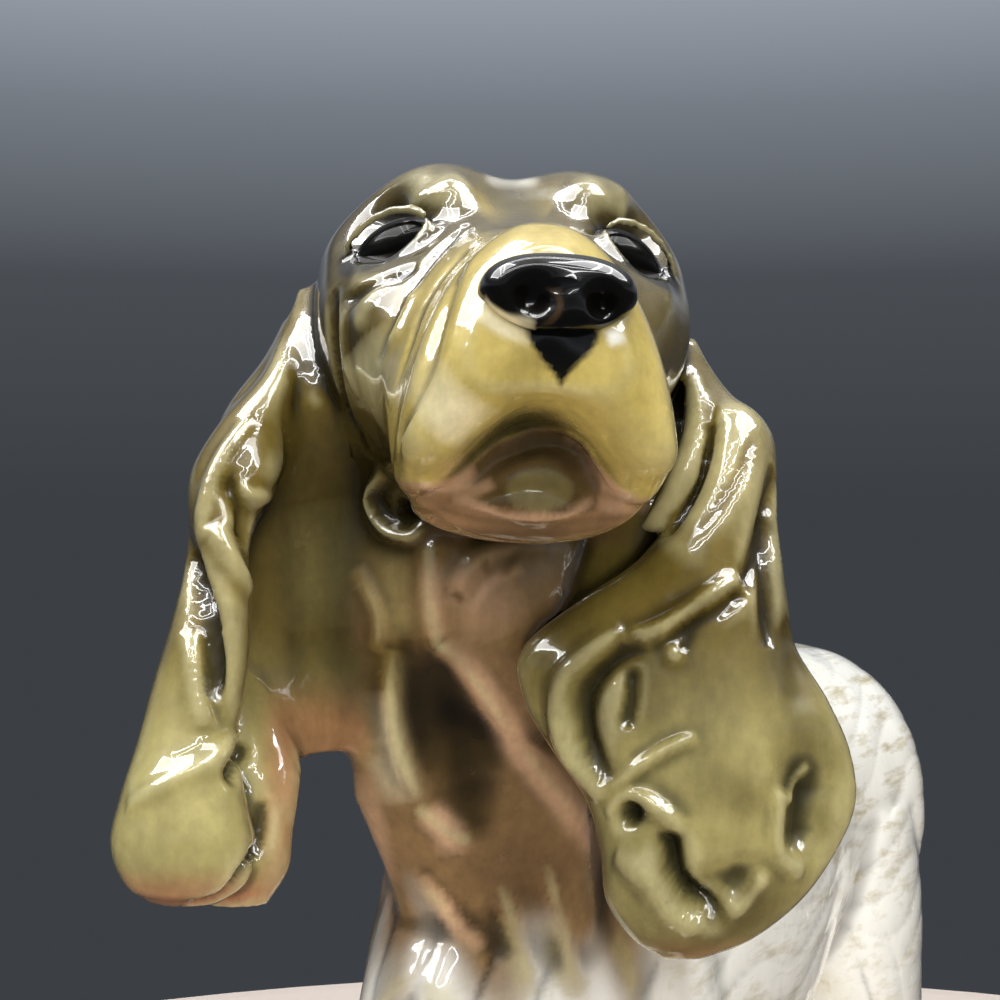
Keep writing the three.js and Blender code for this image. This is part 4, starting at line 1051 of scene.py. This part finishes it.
# Russet on the bottoms of the lobes and of the web: painted warm reflection from below
earRussetReflection = {
    "rightLobe": (0.9, (860, 900), [(330, 300)]),
    "leftLobe": (0.6, (930, 955), [(500, 560)]),
    "webFoot": (0.75, (660, 730), [(250, 285), (440, 420)]),
}
# The edge of the white coat: bands past the forelegs, over the floor and over the neck's seam, and the
# height and pace of the two waves that break it into locks
collar = {
    "ahead": (8, -8), "over": (60, 72), "seam": (-1, 3), "waves": (2.5, 1.5), "pace": (0.9, 0.25, 1.3),
    "oliveDepth": (140, 148),
}
# Darkening in hollows, partly pooled glaze and partly painted shade, and paling on sharp ridges
poolingAndShade = {"fine": 0.12, "broad": 0.9, "broadShare": 1.2, "onWhite": 0.6, "thin": 0.45, "thinFrom": 0.6}
bodyRounds = {"fine": 7, "broad": 50}


def linear(name):
    # A paint's colour from its display values to light
    value = np.array(paints[name], float) / 255
    return np.where(value <= 0.04045, value / 12.92, ((value + 0.055) / 1.055) ** 2.4)


def over(base, name, weight):
    # Mixes a paint in by a weight for each point
    return base + np.asarray(weight)[:, None] * (linear(name) - base)


def brushOn(canvas, points, paint, strokes, edge):
    # Each stroke mixes its colour in by strength * exp(-(distance / width)^edge)
    taper = 0.3
    for pixels, width, colour, strength in strokes.values():
        path = canvas.trace(pixels)
        if len(path) > 1:
            paint = over(paint, colour, strength * pathWeight(points, path, width, edge, taper))
    return paint


def whiteness(points):
    # One on the white coat and zero on the olive of the head and neck, which runs out in locks over the chest
    x, y, z = points.T
    (broad, fine), (paceX, paceZ, paceY) = collar["waves"], collar["pace"]
    front = ramp(*collar["ahead"], y - origin[1] + torso["shoulderReach"])
    level = z + broad * np.sin(paceX * x + paceZ * z) + fine * np.sin(paceY * y)
    return 1 - ramp(*collar["over"], level) * np.maximum(front, ramp(*collar["seam"], aboveNeckSeam(points)))


def coatPaint(points):
    # White body, brown throat, and the olive of the ears round the sides and back of the neck
    dark = 1 - whiteness(points)
    paint = over(np.tile(linear("white"), (len(points), 1)), "throat", dark)
    paint = over(paint, "olive", dark * ramp(*collar["oliveDepth"], (points - lensPlace) @ viewY))
    return brushOn(picture, points, paint, neckBrush, brushEdge["neck"])


def pooledGlazeAndShade(skin, paint, fineRounds, broadRounds):
    # Darker in hollows, where the colour falls off as exp(-depth): partly the glaze pooled thick there, partly
    # painted shade; thin and pale on sharp ridges
    p = poolingAndShade
    fine, broad = skin.hollow(fineRounds) / p["fine"], skin.hollow(broadRounds) / p["broad"]
    depth = np.clip(fine, 0, 1) + p["broadShare"] * np.clip(broad, 0, 1)
    depth = (1 - p["onWhite"] * whiteness(skin.points)) * depth
    paint = paint * np.exp(-depth)[:, None]
    return over(paint, "thin", p["thin"] * np.clip(-fine - p["thinFrom"], 0, 1))


def between(bands, value):
    # The product of the ramps over each band
    total = 1.0
    for edges in bands:
        total = total * ramp(*edges, value)
    return total


def mouthPaint(skin, paint, forward, across, down):
    # Under the arch of the upper lip: a dark hollow, the oval of the chin, and the jaw below the lower lip
    m = mouth
    face = ramp(*m["ahead"], forward) * (skin.label < 0.5)
    lips, rim = (np.array(m[edge], float).T for edge in ("upperLip", "lowerLip"))
    inside = ramp(*m["underLip"], down - np.interp(across, *lips)) * between(m["corners"], across)
    paint = over(paint, "jaw", face * inside)
    hole = between(m["hole"], across) * ramp(*m["overRim"], down - np.interp(across, *rim))
    paint = over(paint, "mouth", face * inside * hole)
    (chinX, chinY), (wide, tall) = m["chin"], m["chinSize"]
    oval = np.hypot((across - chinX) / wide, (down - chinY) / tall)
    paint = over(paint, "chin", face * ramp(*m["chinEdge"], oval))
    return brushOn(picture, skin.points, paint, mouthBrush, brushEdge["mouth"])


def headPaint(skin):
    # Coat, skull, muzzle, lids, forehead, blaze, ears, painted shade on the sides, brush strokes, pooled glaze
    # with painted shade, mouth and wedge, in turn
    t, p = headTints, philtrum
    h = toHead(skin.points)
    x, y, z = h.T
    across, down = seenAt(skin.points)
    skull = ramp(*t["skullOver"], z)
    paint = over(coatPaint(skin.points), "olive", skull)
    paint = over(paint, "gold", ramp(*t["muzzleAhead"], y))
    long, high = eyes["long"] - t["lidInset"], eyes["above"] - t["lidInset"]
    for side in (-1, 1):
        e = (h - np.array(eyes["at"]) * [side, 1, 1]) @ eyeFrame(side)
        rim = np.hypot(e[:, 0] / long, e[:, 2] / high)
        paint = over(paint, "eye", ramp(*t["lidEdge"], rim) * ramp(*t["lidDepth"], np.abs(e[:, 1])))
    paint = over(paint, "forehead", ramp(*t["browOver"], z) * ramp(*t["browBehind"], y) * t["browShare"])
    paint = over(paint, "blaze", ramp(*t["blazeAside"], np.abs(x)) * ramp(*t["blazeOver"], z))
    ear = (skin.label > 0.5).astype(float)[:, None]
    for _ in range(t["earRounds"]):
        ear = skin.around(ear)
    ear = ear[:, 0]
    paint = over(paint, "ear", ear)
    # The lower ears paler: the glaze's paler yellow and painted highlight
    light = earPaleAndHighlight["share"] + earPaleAndHighlight["more"] * ramp(*earPaleAndHighlight["across"], across)
    paint = over(paint, "oliveLight", ear * ramp(*earPaleAndHighlight["down"], down) * light)
    # Painted warm reflection in russet on the bottoms of the ears
    for share, low, bands in earRussetReflection.values():
        paint = over(paint, "russetReflection", share * ear * ramp(*low, down) * between(bands, across))
    # Painted shade on the sides of the skull behind the eyes and on the ears, where they face sideways
    sides = ramp(*t["sideFacing"], np.abs(skin.normals() @ headTurn[:, 1]))
    sideShade = np.maximum(ear, skull * ramp(*t["sideBehind"], y))  # darker there than on the front and back
    paint = over(paint, "oliveDark", t["sideShadeShare"] * sides * sideShade)
    paint = brushOn(picture, skin.points, paint, headBrush, brushEdge["head"])
    # Painted shade in the hollows, where the glaze also pools
    paint = pooledGlazeAndShade(skin, paint, t["fineRounds"], t["broadRounds"])
    paint = mouthPaint(skin, paint, y, across, down)
    wedge = p["half"] * ramp(p["tip"], p["top"], z)
    black = ramp(*p["edge"], np.abs(x - p["middle"]) - wedge) * ramp(*p["ahead"], y)
    return over(paint, "black", black * ramp(*p["foot"], z) * ramp(*p["under"], z))


def bodyPaint(skin):
    # The coat, darker in its combed grooves: partly glaze pooled there, partly painted shade
    return pooledGlazeAndShade(skin, coatPaint(skin.points), bodyRounds["fine"], bodyRounds["broad"])


def ticking(points):
    # How thickly hair strokes are ticked over the white: most on the back and the legs, least on the belly
    least, more, chest = 0.4, 0.5, (-46, -34)
    _, y, z = (points - origin).T
    back = ramp(brisket, torso["withersHeight"], z)
    amount = least + more * np.maximum(back, ramp(brisket, 0.5 * brisket, z)) * ramp(*chest, y)
    return (amount * whiteness(points))[:, None]


glazes = {
    "oliveGlaze": {"grain": (1, 0.2, 1), "coat": 1, "specular": 0.2},
    "legGlaze": {"grain": (1, 1, 0.2), "coat": 1, "specular": 0.2},
    "blackGlaze": {"grain": (1, 1, 1), "coat": 0.8, "specular": 0.1},
    "eyeGlaze": {"grain": (1, 1, 1), "coat": 0.15, "specular": 0.05},
}
# Noise in the glaze: strengths, scales per metre, and bands that the noise is spread over
mottle = {
    "speckle": 0.13, "speckleUp": 0.6, "speckleScale": 900, "cloud": 0.3, "cloudUp": 0.5, "cloudScale": 240,
    "streak": (1, 1, 0.35), "tickScale": 620, "tickBand": (0.5, 0.72), "onWhite": 0.12, "whiteBand": (0, 0.4),
    "roughness": (0.18, 0.28), "roughScale": 420, "bump": 0.12, "bumpDepth": 0.0006, "bumpScale": 240,
    "noiseRoughness": 0.62, "coatRoughness": 0.02,
}


def glaze(name):
    # The brushed colour times speckles and clouds, with tan hair strokes mixed in, under a clear coat
    look, m = glazes[name], mottle
    material = bpy.data.materials.new(name)
    material.use_nodes = True
    nodes, links = material.node_tree.nodes, material.node_tree.links
    shader = nodes["Principled BSDF"]
    shader.inputs["Coat Weight"].default_value = look["coat"]
    shader.inputs["Coat Roughness"].default_value = m["coatRoughness"]
    shader.inputs["Specular IOR Level"].default_value = look["specular"]
    paint, place = nodes.new("ShaderNodeAttribute"), nodes.new("ShaderNodeTexCoord")
    paint.attribute_name = "paint"

    def stretched(scale):
        node = nodes.new("ShaderNodeMapping")
        node.inputs["Scale"].default_value = scale
        links.new(place.outputs["Object"], node.inputs["Vector"])
        return node.outputs["Vector"]

    comb, streak = stretched(look["grain"]), stretched(m["streak"])

    def noise(scale, detail, source=place.outputs["Object"]):
        node = nodes.new("ShaderNodeTexNoise")
        node.inputs["Scale"].default_value = scale
        node.inputs["Detail"].default_value = detail
        node.inputs["Roughness"].default_value = m["noiseRoughness"]
        links.new(source, node.inputs["Vector"])
        return node.outputs["Fac"]

    def spread(value, low, high, start=0.3, end=0.7):
        node = nodes.new("ShaderNodeMapRange")
        for socket, number in zip(("From Min", "From Max", "To Min", "To Max"), (start, end, low, high)):
            node.inputs[socket].default_value = number
        links.new(value, node.inputs["Value"])
        return node.outputs["Result"]

    def blend(kind, first, second, factor=None):
        node = nodes.new("ShaderNodeMix")
        node.data_type, node.blend_type, node.clamp_result = "RGBA", kind, False
        node.inputs["Factor"].default_value = 1
        if factor:
            links.new(factor, node.inputs["Factor"])
        links.new(first, node.inputs["A"])
        if isinstance(second, tuple):
            node.inputs["B"].default_value = second
        else:
            links.new(second, node.inputs["B"])
        return node.outputs["Result"]

    broken = spread(paint.outputs["Alpha"], 1, m["onWhite"], *m["whiteBand"])
    speckle = spread(noise(m["speckleScale"], 6), 1 - m["speckle"], 1 + m["speckleUp"] * m["speckle"])
    colour = blend("MULTIPLY", paint.outputs["Color"], speckle, broken)
    cloud = spread(noise(m["cloudScale"], 5, streak), 1 - m["cloud"], 1 + m["cloudUp"] * m["cloud"])
    colour = blend("MULTIPLY", colour, cloud, broken)
    ticks = nodes.new("ShaderNodeMath")
    ticks.operation = "MULTIPLY"
    links.new(spread(noise(m["tickScale"], 4, comb), 0, 1, *m["tickBand"]), ticks.inputs[0])
    links.new(paint.outputs["Alpha"], ticks.inputs[1])
    colour = blend("MIX", colour, (*linear("tan"), 1), ticks.outputs["Value"])
    links.new(colour, shader.inputs["Base Color"])
    links.new(spread(noise(m["roughScale"], 4), *m["roughness"]), shader.inputs["Roughness"])
    bump = nodes.new("ShaderNodeBump")
    bump.inputs["Strength"].default_value = m["bump"]
    bump.inputs["Distance"].default_value = m["bumpDepth"]
    links.new(noise(m["bumpScale"], 2), bump.inputs["Height"])
    for socket in ("Normal", "Coat Normal"):
        links.new(bump.outputs["Normal"], shader.inputs[socket])
    return material


# Pieces: a skin is cut where a field over its points is zero, and a fan closes the opening

def keepAbove(data, triangles, field):
    # Each crossed edge gets a point where the field is zero; the first three columns of data are the place
    field = np.where(np.abs(field) < 1e-7, 1e-7, field)
    inside = field > 0
    count = inside[triangles].sum(1)
    mixed = triangles[(count == 1) | (count == 2)]
    tip = inside[mixed].sum(1) == 1
    lone = np.where(tip[:, None], inside[mixed], ~inside[mixed]).argmax(1)
    a, b, c = mixed[np.arange(len(mixed))[:, None], (lone[:, None] + [0, 1, 2]) % 3].T
    pairs = np.sort(np.concatenate([np.stack([a, b], 1), np.stack([a, c], 1)]), axis=1)
    crossed, index = np.unique(pairs, axis=0, return_inverse=True)
    index = index.ravel()
    i, j = crossed.T
    share = (field[i] / (field[i] - field[j]))[:, None]
    fresh = data[i] + share * (data[j] - data[i])
    ab, ac = len(data) + index[:len(a)], len(data) + index[len(a):]
    hub = np.full(len(a), len(data) + len(fresh))
    parts = [
        triangles[count == 3],
        np.stack([a, ab, ac], 1)[tip],
        np.stack([ab, b, c], 1)[~tip],
        np.stack([ab, c, ac], 1)[~tip],
        np.stack([ac, ab, hub], 1)[tip],
        np.stack([ab, ac, hub], 1)[~tip],
    ]
    data = np.concatenate([data, fresh, fresh.mean(0)[None]])
    triangles = np.concatenate(parts)
    used, triangles = np.unique(triangles, return_inverse=True)
    return data[used], triangles.reshape(-1, 3)


def addPiece(name, data, triangles, material, nodes):
    # Columns of data: place, normal, paint, ticking
    mesh = fillMesh(name, data[:, :3], triangles)
    colour = np.clip(data[:, 6:10], 0, 1).astype(np.float32)
    mesh.attributes.new("paint", "FLOAT_COLOR", "POINT").data.foreach_set("color", colour.ravel())
    mesh.normals_split_custom_set_from_vertices(data[:, 3:6].astype(np.float32))
    mesh.materials.append(material)
    piece = bpy.data.objects.new(name, mesh)
    bpy.context.collection.objects.link(piece)
    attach(piece, "root")
    if nodes:
        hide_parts(*nodes)
    print("piece", name, len(triangles), "triangles")


oliveGlaze, legGlaze, blackGlaze, eyeGlaze = (glaze(name) for name in glazes)


def headPieces():
    # The ears are cut off where their smoothed labels pass a half, and the head at the neck's seam
    skin, edgeRounds = headSkin, 12
    left, right = ((skin.label == value).astype(float)[:, None] for value in (1, 2))
    for _ in range(edgeRounds):
        left, right = skin.around(left), skin.around(right)
    look = [headPaint(skin), ticking(skin.points)]
    data = np.concatenate([skin.points, skin.normals(), *look, left - 0.5, right - 0.5], 1)
    for name, column in (("left_ear", 10), ("right_ear", 11)):
        part, faces = keepAbove(data, skin.triangles, data[:, column])
        addPiece(name, part, faces, oliveGlaze, [name, f"{name}_slip_joint"])
    rest, faces = keepAbove(data, skin.triangles, -data[:, 10])
    rest, faces = keepAbove(rest, faces, -rest[:, 11])
    rest, faces = keepAbove(rest, faces, aboveNeckSeam(rest[:, :3]) + neck["seamDepth"])
    addPiece("head", rest, faces, oliveGlaze, ["head", "neck_slip_joint"])
    for name, shell in (("nose", noseShell()), ("left_eye", eyeShell(1)), ("right_eye", eyeShell(-1))):
        points, faces = closedGrid(fromHead(shell))
        form = Skin(points, faces, np.zeros(len(points)))
        paint = np.tile(linear("black"), (len(points), 1))
        if name == "nose":
            paint = brushOn(Photo(form), points, paint, noseBrush, brushEdge["nose"])
        data = np.concatenate([points, form.normals(), paint, 0 * paint[:, :1]], 1)
        addPiece(name, data, faces, blackGlaze if name == "nose" else eyeGlaze, [])


def bodyPieces():
    # The legs and the tail are cut off at their seams and the torso at the neck's
    skin = bodySkin
    data = np.concatenate([skin.points, skin.normals(), bodyPaint(skin), ticking(skin.points)], 1)
    rest, faces = data, skin.triangles

    def legField(name, points):
        side, y = feet[name]
        x, along, z = (points - origin).T
        seam = legs["foreSeam"] if "fore" in name else legs["hindSeam"]
        return np.minimum(seam - z, np.minimum(side * x, np.sign(y) * along - legs["bellyClear"]))

    def tailField(points):
        return points[:, 1] - origin[1] - tailRootY - tail["seam"]

    for name in feet:
        part, partFaces = keepAbove(data, skin.triangles, legField(name, data[:, :3]))
        part, partFaces = keepAbove(part, partFaces, part[:, 2])
        addPiece(name, part, partFaces, legGlaze, [name, f"{name}_slip_joint"])
        rest, faces = keepAbove(rest, faces, -legField(name, rest[:, :3]))
    part, partFaces = keepAbove(data, skin.triangles, tailField(data[:, :3]))
    addPiece("tail", part, partFaces, oliveGlaze, ["tail", "tail_slip_joint"])
    rest, faces = keepAbove(rest, faces, -tailField(rest[:, :3]))
    rest, faces = keepAbove(rest, faces, -aboveNeckSeam(rest[:, :3]) - neck["seamDepth"])
    addPiece("torso", rest, faces, oliveGlaze, ["torso"])


headPieces()
bodyPieces()


# Stage: a pale round floor, a framed pane over the dog and one at each side, and a broad fill at the camera
sideWindow = {"rise": 56, "reach": 0.4, "size": (0.3, 0.3), "paneGlow": 9, "barGlow": 24, "rings": (1,)}
windows = {
    "overhead": {
        "turn": 0, "rise": 72, "reach": 0.34, "size": (0.42, 0.42),
        "paneGlow": 3.6, "barGlow": 26, "rings": (1, 0.7),
    },
    "leftWindow": {"turn": -72, **sideWindow},
    "rightWindow": {"turn": 72, **sideWindow},
}
studio = {
    "floorRadius": 0.22, "floorColour": (0.74, 0.64, 0.57), "floorRoughness": 0.7, "floorThick": 4,
    "bevel": 0.99, "bevelDrop": 40, "barWidth": 0.013, "barGap": 0.004,
    "fillSize": (1.2, 0.8), "fillReach": 0.9, "fillAside": 0.2, "fillOver": 0.25, "fillPower": 6.0,
    "backdrop": ((0, 0.05), (0.12, 0.075), (0.21, 0.2), (0.27, 0.34), (0.4, 0.1), (1, 0.1)),
    "backdropTint": (0.9, 1, 1.15),
}


def addLight(name, place, aim, size, power):
    # A rectangle of light turned from its place to its aim
    data = bpy.data.lights.new(name, "AREA")
    data.shape = "RECTANGLE"
    data.size, data.size_y = size
    data.energy = power
    lamp = bpy.data.objects.new(name, data)
    lamp.location = place
    direction = np.asarray(aim, float) - place
    yaw = math.atan2(direction[0], -direction[1])
    pitch = math.atan2(math.hypot(direction[0], direction[1]), -direction[2])
    lamp.rotation_euler = (pitch, 0, yaw + math.pi)
    bpy.context.collection.objects.link(lamp)
    return lamp


def addWindow(name, middle, turn, rise, reach, size, paneGlow, barGlow, rings):
    # A pane with bright frames on it, facing the head; a light's power is its glow * pi * area. Only the pane
    # overhead lights the dog; the rest of the windows show in the gloss
    yaw = turnAbout(2, photo["azimuth"] + turn)
    outward = yaw @ [0, -math.cos(math.radians(rise)), math.sin(math.radians(rise))]
    across = yaw @ [1, 0, 0]
    along = np.cross(outward, across)
    place = middle + reach * outward
    strip, gap = studio["barWidth"], studio["barGap"] * outward
    bars = [(np.zeros(3), size, paneGlow)]
    for wide, tall in ((ring * size[0], ring * size[1]) for ring in rings):
        for side in (-0.5, 0.5):
            bars.append((side * wide * across + gap, (strip, tall), barGlow))
            bars.append((side * tall * along + gap, (wide, strip), barGlow))
    for k, (shift, (wide, tall), glow) in enumerate(bars):
        at, power = place + shift, glow * math.pi * wide * tall
        lamp = addLight(f"{name}{k}", at, at - outward, (wide, tall), power)
        lamp.visible_diffuse = k == 0 and name == "overhead"
        lamp.visible_glossy = k > 0 or name != "overhead"


def addLights():
    # The windows round the head, and the fill beside the camera, which doesn't show in the gloss
    s, middle = studio, eyePlace * mm
    for name, window in windows.items():
        addWindow(name, middle, **window)
    place = middle - s["fillReach"] * viewY + s["fillAside"] * viewX + [0, 0, s["fillOver"]]
    addLight("fill", place, middle, s["fillSize"], s["fillPower"]).visible_glossy = False


def addFloor():
    # A disc of rings whose rim drops a little, closed below
    s = studio
    radius = np.linspace(0, 1, 40)[:, None]
    angle = np.linspace(0, 2 * math.pi, 96, endpoint=False)[None]
    edge = s["floorRadius"] / mm
    drop = -s["bevelDrop"] * np.maximum(radius - s["bevel"], 0)
    grid = np.stack([edge * radius * np.cos(angle), edge * radius * np.sin(angle), drop + 0 * angle], -1)
    points, faces = closedGrid(np.concatenate([grid, grid[::-1] - [0, 0, s["floorThick"]]]))
    mesh = fillMesh("floor", points, faces)
    mesh.polygons.foreach_set("use_smooth", np.zeros(len(faces), bool))
    material = bpy.data.materials.new("paleFloor")
    material.use_nodes = True
    shader = material.node_tree.nodes["Principled BSDF"]
    shader.inputs["Base Color"].default_value = (*s["floorColour"], 1)
    shader.inputs["Roughness"].default_value = s["floorRoughness"]
    mesh.materials.append(material)
    floor = bpy.data.objects.new("floor", mesh)
    bpy.context.collection.objects.link(floor)
    floor.visible_glossy = False  # keeps the undersides of the glaze from mirroring the floor's edge


def addBackdrop():
    # A world whose grey follows the height of the direction
    world = bpy.data.worlds.new("studio")
    bpy.context.scene.world = world
    world.use_nodes = True
    nodes, links = world.node_tree.nodes, world.node_tree.links
    place, split = nodes.new("ShaderNodeTexCoord"), nodes.new("ShaderNodeSeparateXYZ")
    shade = nodes.new("ShaderNodeValToRGB")
    for position, grey in studio["backdrop"]:
        stop = shade.color_ramp.elements.new(position)
        stop.color = (*(grey * tint for tint in studio["backdropTint"]), 1)
    for end in (0, -1):
        shade.color_ramp.elements.remove(shade.color_ramp.elements[end])
    links.new(place.outputs["Generated"], split.inputs["Vector"])
    links.new(split.outputs["Z"], shade.inputs["Fac"])
    links.new(shade.outputs["Color"], nodes["Background"].inputs["Color"])


addLights()
addFloor()
addBackdrop()
bpy.context.scene.view_settings.view_transform = "Standard"
print("studio set")
